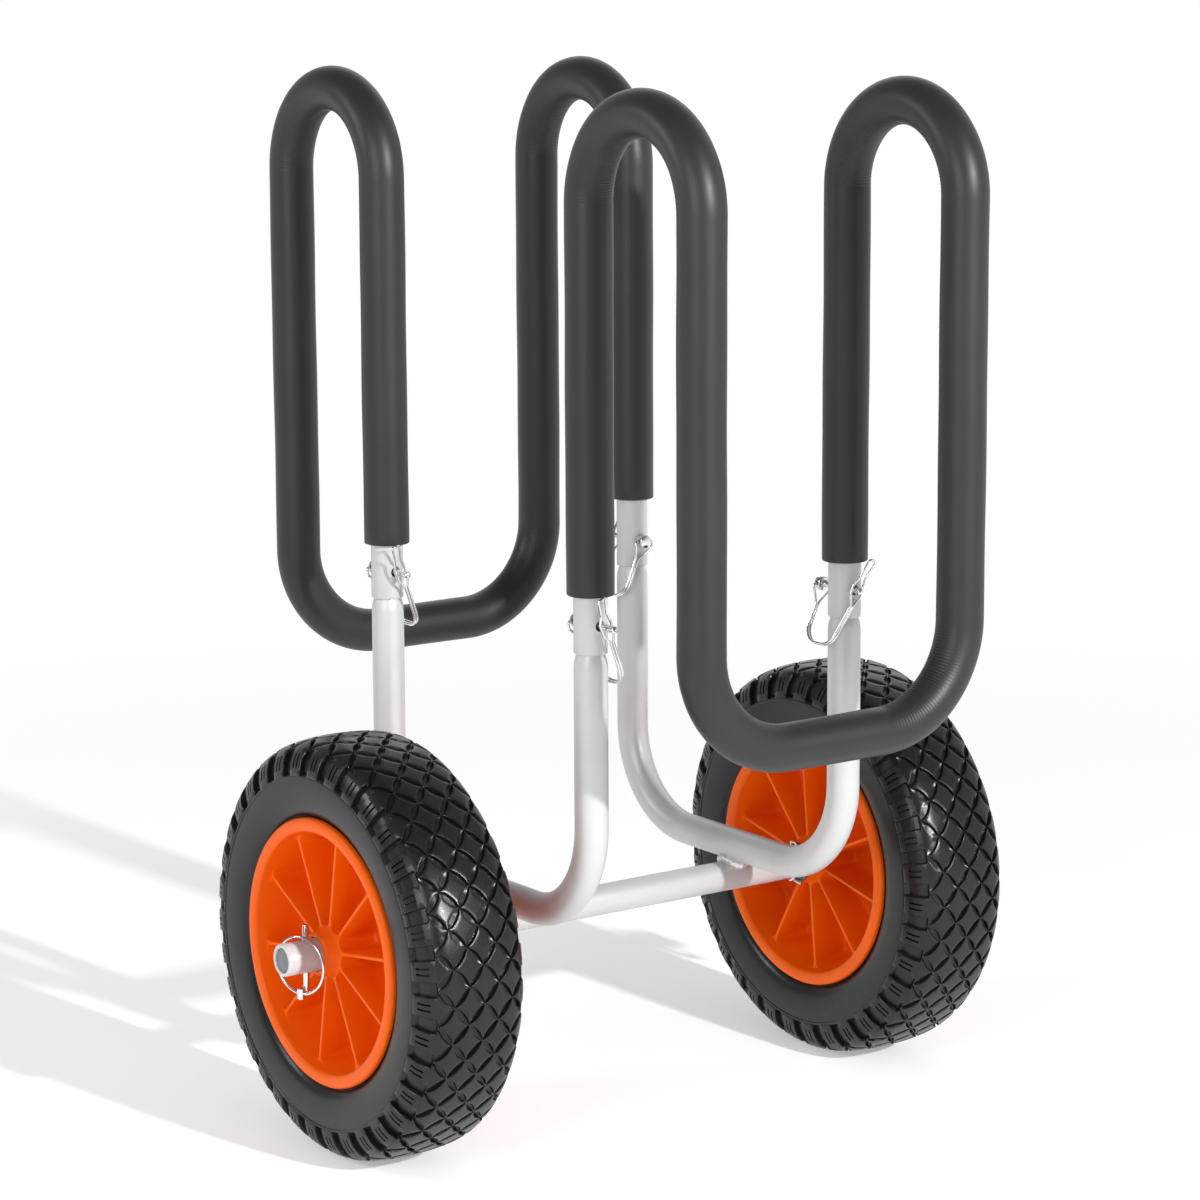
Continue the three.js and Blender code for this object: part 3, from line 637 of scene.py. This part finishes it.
def rim_face(shape, face, turn):
    """One ribbed face of the rim: ten hollows, the ribs' edges between them, and the web"""
    r = RIM_SIZES
    # level, half a rib, outer and inner corner radius, and how far the outline has shrunk
    levels = [(r.level, *MOUTH, 0), (r.level - 0.12, 0.93, 4.1, 2.8, 0),
              (r.level - 0.5, 1.05, 4.0, 2.7, 0), (14.0, 1.28, 3.8, 2.6, 0), (5.6, 1.45, 3.6, 2.5, 0),
              (4.2, 1.5, 3.3, 2.4, 0.45), (3.2, 1.5, 2.9, 2.1, 1.05), (2.65, 1.5, 2.4, 1.7, 1.7),
              (r.web, 1.5, 1.9, 1.3, 2.4), (r.web, 1.5, 1.2, 0.9, 3.6)]
    step = 2 * math.pi / RIBS
    side = pocket_outline(*levels[0])[ARC_STEPS:SIDE_END + 1]
    for k in range(RIBS):
        middle = turn + (k + 0.5) * step
        rings = [[rim_point(middle, rad, a, face * level[0]) for rad, a in pocket_outline(*level)]
                 for level in levels]
        verts, faces = bridged(rings)
        last = (len(rings) - 1) * len(rings[0])
        faces.append([last + j for j in range(len(rings[0]))])
        shape.add(verts, faces)
        here = [rim_point(middle, rad, a, face * r.level) for rad, a in side]
        there = [rim_point(middle + step, rad, -a, face * r.level) for rad, a in side]
        centre = [rim_point(middle, rad, step / 2, face * r.level) for rad, _ in side]
        shape.add(*bridged([here, centre, there], closed_round=False))


def rim_ring_angles(turn, mouth, hub):
    """Angles at which the turned parts of the rim have their points, to meet the ribbed faces"""
    step = 2 * math.pi / RIBS
    met = mouth[SIDE_END:SIDE_END + HUB_STEPS + 1] if hub else mouth[:ARC_STEPS + 1]
    chosen = sorted(a for _, a in met)
    return [turn + (k + 0.5) * step + a for k in range(RIBS) for a in [*chosen, step / 2]]


def make_rim(name, side):
    r = RIM_SIZES
    turn = math.radians(RIB_TURN[name])
    mouth = pocket_outline(r.level, *MOUTH)
    lip, hub = r.lip, boss_radius(r.level)
    barrel = [(barrel_radius(r.level), r.level), (barrel_radius(29.5), 29.5), (lip - 0.1, 31.4),
              (lip + 0.15, 32.4), (lip + 0.7, 33.2), (lip + 1.5, 33.7), (lip + 2.6, 33.98), (77.4, 34.1),
              (79.2, 33.9), (80.2, 33.4), (80.85, 32.6), (r.flange, 31.7), (r.flange, r.flange_back),
              (r.seat + 0.4, r.seat_half + 0.3), (r.seat, r.seat_half)]
    boss = [(hub, r.level), (hub - 0.5, r.level + 0.7), (14.2, 29.6), (12.9, 34.2), (12.5, 35.0),
            (12.0, r.hub_half), (WHEEL.bore + 0.5, r.hub_half), (WHEEL.bore, r.hub_half - 0.5)]
    shape = Shape()
    for half, at_hub in ((barrel, False), (boss, True)):
        outline = half + [(rad, -place) for rad, place in half[::-1]]
        angles = rim_ring_angles(turn, mouth, at_hub)
        shape.add(*bridged([[rim_point(0, rad, a, place) for a in angles] for rad, place in outline]))
    for face in (-1, 1):
        rim_face(shape, face, turn)
    shape.finish(name + "_ribbed_rim", on_axle(side * WHEEL.x), RIM, name + "_wheel", name + "_rim", 40)


# Half of the tyre's outline from the middle of the tread to the rim, as (across, radius)
TYRE_OUTLINE = [(0, 127.4), (8, 127.25), (16, 126.7), (23.8, 125.3), (29, 122.3), (33, 117.4),
                (35.2, 111.5), (36.0, 105.5), (36.1, 99.5), (35.5, 93), (34.4, 87.5), (33.0, 84.2),
                (31.6, 82.5), (30.5, 81.6)]
OUTLINE_STEPS = 12
# A tread block is a diamond, split into so many faces per side. So many stand from the middle out.
SIDE_FACES = 6
DIAMOND_HALF = 9.9
DIAMONDS = 3
# Grooves are wide and deep at the middle of a block's side, narrow and shallow where four blocks meet
GROOVE_DEPTH = 2.6
NODE_DEPTH = 1.5
GROOVE_WIDE = 2.3
GROOVE_NARROW = 0.6


class Section:
    """The tyre's outline by distance from the middle of the tread"""

    def __init__(self):
        mirrored = [(-x, r) for x, r in TYRE_OUTLINE[:0:-1]]
        points = [Vector((x, r)) for x, r in mirrored + TYRE_OUTLINE]
        fine = []
        for i in range(len(points) - 1):
            a, b = points[i], points[i + 1]
            before = points[i - 1] if i else a * 2 - b
            after = points[i + 2] if i + 2 < len(points) else b * 2 - a
            for k in range(OUTLINE_STEPS):
                t = k / OUTLINE_STEPS
                fine.append(0.5 * ((2 * a) + (b - before) * t + (2 * before - 5 * a + 4 * b - after) * t * t
                                   + (3 * a - before - 3 * b + after) * t ** 3))
        fine.append(points[-1])
        self.fine = fine
        lengths = lengths_along(fine)
        middle = lengths[-1] / 2
        self.lengths = [s - middle for s in lengths]
        self.end = middle

    def at(self, v, height):
        """A point (across, radius) at a distance v from the middle and a height over the outline"""
        i = min(max(bisect.bisect_right(self.lengths, v) - 1, 0), len(self.fine) - 2)
        a, b = self.fine[i], self.fine[i + 1]
        t = (v - self.lengths[i]) / (self.lengths[i + 1] - self.lengths[i])
        along = (b - a).normalized()
        out = Vector((-along.y, along.x))
        return a.lerp(b, t) + out * height

    def reach(self, radius):
        """Distance from the middle of the tread to where the sidewall has this radius"""
        for p, s in zip(self.fine, self.lengths):
            if s > 0 and p.y <= radius:
                return s
        return self.end


SECTION = Section()
PITCH = 2 * math.pi / TREAD_COUNT


def tyre_point(u, v, height):
    """u counts tread pitches round the tyre, v runs across it, height is above the outline"""
    p = SECTION.at(v, height)
    a = u * PITCH
    return Vector((p.x, -p.y * math.cos(a), p.y * math.sin(a)))


TREAD_RADIUS = 127
SIDE_LENGTH = math.hypot(DIAMOND_HALF, PITCH * TREAD_RADIUS / 2)
CELL_WIDTH = DIAMOND_HALF * PITCH * TREAD_RADIUS / SIDE_LENGTH


def groove_inset(t):
    """Half width of a groove, as a share of a cell, at a place along the cell's side"""
    return (GROOVE_NARROW + (GROOVE_WIDE - GROOVE_NARROW) * math.sin(math.pi * t) ** 0.8) / CELL_WIDTH


def groove_depth(t):
    return NODE_DEPTH + (GROOVE_DEPTH - NODE_DEPTH) * min(1, math.sin(math.pi * t) * 2.2)


# The wall of a groove from its middle up: share of its half width, share of its depth
RING_STEPS = [(0.0, -1.0), (0.72, -1.0), (0.90, -0.16), (0.95, -0.03), (1.04, 0.0)]


def cell_side(share, level, t):
    """A point beside a block's side in its own frame: along it, away from it, and its height"""
    width, corner = groove_inset(t) * share, groove_inset(0) * share
    return corner + (1 - 2 * corner) * t, max(width, corner), groove_depth(t) * level


def diamond(shape, a0, b0):
    """One whole block of the tread with the halves of the grooves round it"""
    n = SIDE_FACES
    rings = []
    for share, level in RING_STEPS:
        points = []
        for side in range(4):
            for i in range(n):
                along, away, height = cell_side(share, level, i / n)
                s, t = [(along, away), (1 - away, along), (1 - along, 1 - away), (away, 1 - along)][side]
                points.append((a0 + s, b0 + t, height))
        rings.append(points)
    verts, faces = bridged(rings)
    last = rings[-1]
    grid = {}
    for i in range(n + 1):
        grid[i, 0] = last[i]
        grid[n, i] = last[n + i] if n + i < 4 * n else last[0]
        grid[n - i, n] = last[(2 * n + i) % (4 * n)]
        grid[0, n - i] = last[(3 * n + i) % (4 * n)]
    # the block's face is spanned from its four sides
    corners = grid[0, 0], grid[n, 0], grid[0, n], grid[n, n]
    for i in range(1, n):
        for j in range(1, n):
            s, t = i / n, j / n
            low, high, left, right = grid[i, 0], grid[i, n], grid[0, j], grid[n, j]
            made = []
            for c in range(3):
                edge = (1 - t) * low[c] + t * high[c] + (1 - s) * left[c] + s * right[c]
                flat = ((1 - s) * (1 - t) * corners[0][c] + s * (1 - t) * corners[1][c]
                        + (1 - s) * t * corners[2][c] + s * t * corners[3][c])
                made.append(edge - flat)
            grid[i, j] = tuple(made)
    first = len(verts)
    order = {}
    for i in range(n + 1):
        for j in range(n + 1):
            order[i, j] = first + len(order)
            verts.append(grid[i, j])
    faces += [[order[i, j], order[i + 1, j], order[i + 1, j + 1], order[i, j + 1]]
              for i in range(n) for j in range(n)]
    shape.add([lattice_point(*p) for p in verts], faces)


def lattice_point(a, b, height):
    return tyre_point((a + b) / 2, DIAMOND_HALF * (b - a), height)


# Lugs and their slots round the tyre, in tread pitches: ROUND and FINE_ROUND soften their edges
LUG_HALF = 0.285
LUG_WALL = 0.03
SLOT_PLACES = (-0.085, 0.085)
SLOT_HALF = 0.03
ROUND, FINE_ROUND = 0.012, 0.006
# In mm: the slots' run across the tyre is counted from the tread's edge
SLOT_FROM, SLOT_TO = 4.6, 13.4
RECESS_DEPTH = 3.0
SLOT_DEPTH = 1.5
RIDGE_RADIUS = 105.6
TINY = 1e-6


def zipped(shape, low, high):
    """Triangles between two rows of (u, v, height) points that both run towards +u"""
    i = j = 0
    verts = low + high
    faces = []
    while i < len(low) - 1 or j < len(high) - 1:
        if j == len(high) - 1 or (i < len(low) - 1 and low[i + 1][0] <= high[j + 1][0]):
            faces.append([i, i + 1, len(low) + j])
            i += 1
        else:
            faces.append([i, len(low) + j + 1, len(low) + j])
            j += 1
    shape.add([tyre_point(*p) for p in verts], faces)


def shoulder(shape, side):
    """The edge of the tread on one side: half diamonds, then lugs with two slots, down to a ridge.
    Returns the places round the tyre and the distance across at which it ends."""
    n = SIDE_FACES
    edge = DIAMOND_HALF * DIAMONDS
    paths = []
    for share, level in RING_STEPS:
        # from the tread's edge to the half diamond's tip
        left = [(-0.5 + groove_inset(0.12) * share * 1.35, edge, groove_depth(0) * level)]
        for i in range(1, n + 1):
            along, away, height = cell_side(share, level, i / n)
            u = (along + away) / 2 - 0.5 if i < n else 0.0
            left.append((u, edge - max((along - away) * DIAMOND_HALF, 0.0), height))
        paths.append(left + [(-u, v, h) for u, v, h in left[-2::-1]])
    for low, high in zip(paths, paths[1:]):
        verts = [tyre_point(u, side * v, h) for u, v, h in low + high]
        count = len(low)
        shape.add(verts, [[k, k + 1, count + k + 1, count + k] for k in range(count - 1)])
    top = paths[-1]
    rows = []
    for k in range(1, n):
        a, b = top[k], top[-1 - k]
        parts = max(1, round((b[0] - a[0]) * 10))
        rows.append([(a[0] + (b[0] - a[0]) * i / parts, side * a[1],
                      a[2] * (1 - i / parts) + b[2] * i / parts) for i in range(parts + 1)])
    rows.append([(0.0, side * top[n][1], top[n][2])])
    for low, high in zip(rows, rows[1:]):
        zipped(shape, low, high)

    wall = LUG_HALF + LUG_WALL
    slots = [place + sign * reach for place in SLOT_PLACES for sign in (-1, 1)
             for reach in (SLOT_HALF, SLOT_HALF - ROUND)]
    lugs = [sign * reach for sign in (-1, 1) for reach in (wall, LUG_HALF + FINE_ROUND, LUG_HALF - ROUND)]
    ends = [path[0] for path in paths]
    outer = [u for u, _, _ in ends]
    heights = {round(u, 6): h for u, _, h in ends}
    lines = sorted({round(u, 6) for u in [*lugs, *slots, *outer, *[-u for u in outer]]} | {-0.4, 0.4})
    ridge = SECTION.reach(RIDGE_RADIUS)
    slot_from, slot_to = edge + SLOT_FROM, edge + SLOT_TO
    rows_v = [edge, edge + 0.35, edge + 1.3, slot_from - 0.3, slot_from, (slot_from + slot_to) / 2, slot_to,
              slot_to + 0.3, ridge - 3.1, ridge - 1.2, ridge - 0.8, ridge - 0.2, ridge + 0.2]

    def height(u, row):
        v = rows_v[row]
        if row == 0:
            return heights.get(round(-abs(u), 6), 0.0)
        if v > ridge - 1.0:
            return -0.1 if v > ridge - 0.5 else -0.25
        floor = -RECESS_DEPTH if 1.0 < v - edge and v < ridge - 1.5 else -0.5
        if row == 1:
            floor = -0.25
        inside = abs(u)
        if inside >= wall - TINY:
            return floor
        if inside > LUG_HALF:
            return floor * 0.12
        near = any(abs(u - place) < SLOT_HALF - FINE_ROUND for place in SLOT_PLACES)
        if near and slot_from - 0.01 <= v <= slot_to + 0.01:
            return -SLOT_DEPTH
        return -0.02 if inside > LUG_HALF - 0.02 else 0.0

    grid = [[(u, side * v, height(u, row)) for u in lines] for row, v in enumerate(rows_v)]
    verts, faces = bridged(grid, closed_round=False)
    shape.add([tyre_point(*p) for p in verts], faces)
    base = [p for p in grid[0] if abs(p[0]) <= min(abs(rows[0][0][0]) + 0.2, TINY - ends[-1][0])]
    zipped(shape, base, rows[0])
    return lines, rows_v[-1]


def make_tyre(name, side):
    """A tyre of equal tiles, each one tread pitch long, turned round the axle"""
    tile = Shape()
    for d in range(-DIAMONDS + 1, DIAMONDS):
        a0 = -((d + 1) // 2)
        diamond(tile, a0, a0 + d)
    lines, low = shoulder(tile, 1)
    shoulder(tile, -1)
    # the plain sidewall lies a little below the ridge
    sunk = -0.6
    inside = [(low, -0.12), (low + 0.5, sunk)]
    for k in range(1, 13):
        inside.append((low + (SECTION.end - low) * k / 12, sunk if k > 1 else -0.58))
    for sign in (1, -1):
        rows = [[tyre_point(u, sign * v, h) for u in lines] for v, h in inside]
        tile.add(*bridged(rows, closed_round=False))
    bore = [(30.0, 81.5), (27.0, 76.2), (26.2, 75.35)]
    bore = bore + [(-x, r) for x, r in bore[::-1]]
    end, far = SECTION.at(SECTION.end, sunk), SECTION.at(-SECTION.end, sunk)
    hoop = []
    for x, r in [(end.x, end.y), *bore, (far.x, far.y)]:
        hoop.append([Vector((x, -r * math.cos(u * PITCH), r * math.sin(u * PITCH))) for u in lines])
    tile.add(*bridged(hoop, closed_round=False))
    start = math.radians(TREAD_TURN[name])
    whole = Shape()
    for k in range(TREAD_COUNT):
        whole.add(tile.moved(Matrix.Rotation(-(start + k * PITCH), 4, "X")).verts, tile.faces)
    whole.finish(name + "_block_tread_tyre", on_axle(side * WHEEL.x), RUBBER, name + "_wheel",
                 name + "_tyre", 34)


def make_wheels():
    washer = [(9.9, 144.4), (10.1, 144.3), (12.6, 144.3), (13, 144.6), (13, 146.0), (12.6, 146.3),
              (10.1, 146.3), (9.9, 146.2)]
    for name, side in SIDES:
        make_rim(name, side)
        make_tyre(name, side)
        verts, faces = turned(washer, 48, (0, 0, AXLE.height), "X", closed=True)
        mirrored = [Vector((side * v.x, v.y, v.z)) for v in verts]
        finished(name + "_hub_washer_plate", mirrored, faces, DARK_STEEL, "frame", name + "_hub_washer")


# Pins and wires


def make_cotters():
    """Split pins: two legs side by side with bent tips, and an eye on top"""
    apart, top, low = 0.85, 10.7, -11.7
    eye = [((-2.6, 0, top + 1.2), 1), ((-2.6, 0, top + 2.8), 1), ((2.6, 0, top + 2.8), 1),
           ((2.6, 0, top + 1.2), 1)]
    corners = [((-8, 0, low - 0.9), 0), ((-apart, 0, low), 1.4), ((-apart, 0, top), 1), *eye,
               ((apart, 0, top), 1), ((apart, 0, low), 1.4), ((3.6, 0, low - 0.9), 0)]
    for name, side in SIDES:
        spot = on_axle(side * AXLE.cotter_x) @ Matrix.Rotation(side * math.pi / 2, 4, "Z")
        pin = Shape(bar(bent(corners, 15), 0.75, 16, 0.25))
        pin.finish(name + "_split_pin", spot, STEEL, "frame", name + "_cotter_pin")


# The hole across a lock pin's head: its distance from the post's axis, and its radius
CROSS_REACH = 13.05
CROSS_HOLE = 1.2


def make_lock_pins():
    """The pins through loops and posts. One of the four stands out further, with its wire stretched."""
    outline = [(0.05, -25), (1.0, -24.95), (1.6, -24.6), (2.1, -24.0), (2.1, 10.3), (3.6, 10.3),
               (4.05, 10.45), (4.25, 10.9), (4.25, 15.1), (4.1, 15.5), (3.7, 15.75), (0.05, 15.8)]
    lean, stretch = math.radians(23), 4
    # name, side of the cart in X and Y, turn, side to which the wire hangs, how far it is drawn
    places = [("front_left", -1, -1, 0, 1, 0), ("front_right", 1, -1, 0, -1, 8.5),
              ("rear_left", -1, 1, 0, 1, 0), ("rear_right", 1, 1, math.pi, 1, 0)]
    for name, x, y, turn, hang, drawn in places:
        spot = Matrix.Translation((x * POST.x, y * POST.y, LOCK_HEIGHT)) @ Matrix.Rotation(turn, 4, "Z")
        spot = spot @ Matrix.Translation((0, drawn, 0))
        body = turned(outline, 40, axis="Y")
        mesh = cut(*body, [((-8, CROSS_REACH, 0), (8, CROSS_REACH, 0), CROSS_HOLE)])
        mesh.transform(Matrix.Scale(MM, 4) @ spot @ Matrix.Scale(1 / MM, 4))
        finish_mesh(name + "_pull_pin", mesh, STEEL, name + "_pin", "lock_pin_" + name)
        wire = Shape(bar(wire_route(-hang * lean, stretch if drawn else 0), 0.8, 16, 0.25))
        wire.finish(name + "_pull_pin_wire", spot, STEEL, name + "_wire", "lock_wire_" + name)


def wire_route(lean, stretch):
    """The sprung wire: out of the head, down under the post, up past the pin's tip to a finger tab"""
    tip, low, strand = -16.2 - stretch, 38.5 - stretch / 2, 0.95
    ends = [((0.7, CROSS_REACH, 0), 0), ((6.8, CROSS_REACH, 0), 1.4), ((6.0, CROSS_REACH - 0.4, -4.8), 1.2)]
    bail = [((strand, CROSS_REACH - 1.5, -12.5), 5), ((strand, 12.5, -low), 11), ((strand, -12.5, -low), 11),
            ((strand, tip, -9.5), 5), ((3.7, tip, -3.5), 2.6), ((3.7, tip, 3.5), 2.6), ((2, tip - 2, 9), 2.6),
            ((2.7, tip - 6, 20), 1.8)]
    tilt = Matrix.Rotation(lean, 3, "Y")

    def mirrored(corners):
        return [((-p[0], p[1], p[2]), bend) for p, bend in corners[::-1]]

    leaning = [(tilt @ Vector(p), bend) for p, bend in bail + mirrored(bail)]
    return bent(ends + leaning + mirrored(ends), 9)


def make_linch_pins():
    """A straight pin with a collar at its foot, and a sprung ring from there round the sleeve"""
    turn = math.radians(20)
    foot = Vector((3.7, 0, -22.3))
    away = Vector((math.sin(turn), math.cos(turn), 0))
    rod = [(0.05, -21.5), (1.6, -21.45), (1.9, -21.1), (1.9, 18.6), (1.6, 19.2), (1.0, 19.45), (0.05, 19.5)]
    collar = [(1.2, -25.6), (2.1, -25.6), (2.4, -25.3), (2.4, -19.3), (2.1, -19.0), (1.2, -19.0)]
    radius, steps = 17.2, 72
    gap = math.asin(0.7 / radius)
    route = []
    for k in range(steps + 1):
        a = gap + (2 * math.pi - 2 * gap) * k / steps
        route.append(foot + away * radius * math.sin(a) + Vector((0, 0, radius * (1 - math.cos(a)))))
    for name, side in SIDES:
        spot = on_axle(side * AXLE.linch_x) @ Matrix.Diagonal((side, 1, 1, 1))
        pin = Shape(turned(rod, 32), turned(collar, 32, (foot.x, 0, 0)))
        pin.finish(name + "_hub_linch_pin", spot, STEEL, name + "_retainer", name + "_linch_pin")
        ring = Shape(bar(route, 0.9, 16, 0.3))
        ring.finish(name + "_hub_linch_ring", spot, STEEL, name + "_retainer_ring", name + "_linch_ring")


# Floor, light and camera


AMBIENT = 0.34
FLOOR_GLOW = 0.35
# Where the floor turns from shaded to plain white, in metres off the cart's middle
FLOOR_FADE = (0.65, 1.5)
FLOOR_REACH = 45
# The side of the room that glossy pieces see white, and how it fades into the rest
BACKDROP_SIDE = (0.9, 0.43, -0.8)
WALL_RANGE = (-0.3, 0.5, 0.2, 1.0)


def sight(tree):
    """What is 1 for rays by which the camera sees a thing, also through glass, and for mirrored ones"""
    path = tree.nodes.new("ShaderNodeLightPath")
    seen = most(tree, path.outputs["Is Camera Ray"], path.outputs["Is Transmission Ray"])
    return seen, path.outputs["Is Glossy Ray"]


def most(tree, first, second):
    greater = mixed(tree, "ShaderNodeMath", operation="MAXIMUM")
    tree.links.new(first, greater.inputs[0])
    tree.links.new(second, greater.inputs[1])
    return greater.outputs[0]


def make_floor():
    """A pale floor that takes shadows near the cart and turns to plain white further off"""
    mesh = bpy.data.meshes.new("floor")
    corners = [(x * FLOOR_REACH, y * FLOOR_REACH, 0) for x, y in ((-1, -1), (1, -1), (1, 1), (-1, 1))]
    mesh.from_pydata(corners, [], [(0, 1, 2, 3)])
    floor = shown("floor", mesh)
    look = bpy.data.materials.new("white_floor")
    look.use_nodes = True
    tree = look.node_tree
    tree.nodes.clear()
    link = tree.links.new
    diffuse = mixed(tree, "ShaderNodeBsdfDiffuse", Color=(0.88, 0.88, 0.885, 1))
    glow = mixed(tree, "ShaderNodeEmission", Strength=FLOOR_GLOW)
    white = mixed(tree, "ShaderNodeEmission", Strength=1.0)
    both = tree.nodes.new("ShaderNodeAddShader")
    link(diffuse.outputs[0], both.inputs[0])
    link(glow.outputs[0], both.inputs[1])
    place = tree.nodes.new("ShaderNodeTexCoord")
    away = mixed(tree, "ShaderNodeVectorMath", operation="LENGTH")
    link(place.outputs["Object"], away.inputs[0])
    far = mixed(tree, "ShaderNodeMath", operation="MULTIPLY")
    link(ranged(tree, away.outputs["Value"], (*FLOOR_FADE, 0, 1)), far.inputs[0])
    link(most(tree, *sight(tree)), far.inputs[1])
    blend = tree.nodes.new("ShaderNodeMixShader")
    link(far.outputs[0], blend.inputs["Fac"])
    link(both.outputs[0], blend.inputs[1])
    link(white.outputs[0], blend.inputs[2])
    out = tree.nodes.new("ShaderNodeOutputMaterial")
    link(blend.outputs[0], out.inputs["Surface"])
    mesh.materials.append(look)


def make_world():
    """White to the eye, and even light. Glossy pieces reflect a white wall behind a darker room."""
    world = bpy.data.worlds.new("studio")
    bpy.context.scene.world = world
    world.use_nodes = True
    tree = world.node_tree
    tree.nodes.clear()
    link = tree.links.new
    ambient = mixed(tree, "ShaderNodeBackground", Color=(1, 1, 1, 1), Strength=AMBIENT)
    white = mixed(tree, "ShaderNodeBackground", Color=(1, 1, 1, 1))
    place = tree.nodes.new("ShaderNodeTexCoord")
    facing = mixed(tree, "ShaderNodeVectorMath", operation="DOT_PRODUCT")
    facing.inputs[1].default_value = BACKDROP_SIDE
    link(place.outputs["Generated"], facing.inputs[0])
    seen, mirrored = sight(tree)
    wall = ranged(tree, facing.outputs["Value"], WALL_RANGE)
    link(most(tree, wall, seen), white.inputs["Strength"])
    blend = tree.nodes.new("ShaderNodeMixShader")
    out = tree.nodes.new("ShaderNodeOutputWorld")
    link(most(tree, seen, mirrored), blend.inputs["Fac"])
    link(ambient.outputs[0], blend.inputs[1])
    link(white.outputs[0], blend.inputs[2])
    link(blend.outputs[0], out.inputs["Surface"])


def make_lights():
    # name, place, target and size in metres, and watts
    for name, place, target, size, power in (
            ("key", (0.26, -2.9, 1.5), (0, 0, 0.2), (0.08, 0.08), 92),
            ("left_box", (-2.3, -1.2, 1.1), (0, 0, 0.2), (1.0, 1.0), 22),
            ("left_edge_box", (-2.0, 1.07, 1.22), (0, 0, 0.2), (0.45, 0.45), 10),
            ("back_box", (1.9, 2.5, 1.9), (0, 0, 0.3), (2.2, 0.9), 6)):
        data = bpy.data.lights.new(name, "AREA")
        data.shape = "RECTANGLE"
        data.size, data.size_y = size
        data.energy = power
        lamp = shown(name, data)
        lamp.location = place
        lamp.rotation_euler = (Vector(target) - Vector(place)).to_track_quat("-Z", "Y").to_euler()


def make_camera():
    az, el, roll = CAMERA_AZIMUTH, CAMERA_HEIGHT, CAMERA_ROLL
    right = Vector((math.cos(az), -math.sin(az), 0))
    ahead = Vector((math.sin(az) * math.cos(el), math.cos(az) * math.cos(el), -math.sin(el)))
    up = right.cross(ahead)
    across = right * math.cos(roll) + up * math.sin(roll)
    upright = up * math.cos(roll) - right * math.sin(roll)
    place = CAMERA_TARGET - ahead * CAMERA_DISTANCE + right * CAMERA_SLIDE[0] + up * CAMERA_SLIDE[1]
    data = bpy.data.cameras.new("camera")
    data.sensor_width = 36
    data.lens = LENS_PIXELS * data.sensor_width / PHOTO_SIZE
    data.clip_start, data.clip_end = 0.05, 60
    camera = shown("camera", data)
    axes = Matrix((across, upright, -ahead)).transposed().to_4x4()
    camera.matrix_world = Matrix.Translation(place * MM) @ axes
    bpy.context.scene.camera = camera


make_camera()
make_post_frames()
make_axle()
make_loops()
make_wheels()
make_cotters()
make_lock_pins()
make_linch_pins()
make_floor()
make_world()
make_lights()
bpy.context.scene.view_settings.view_transform = "Standard"
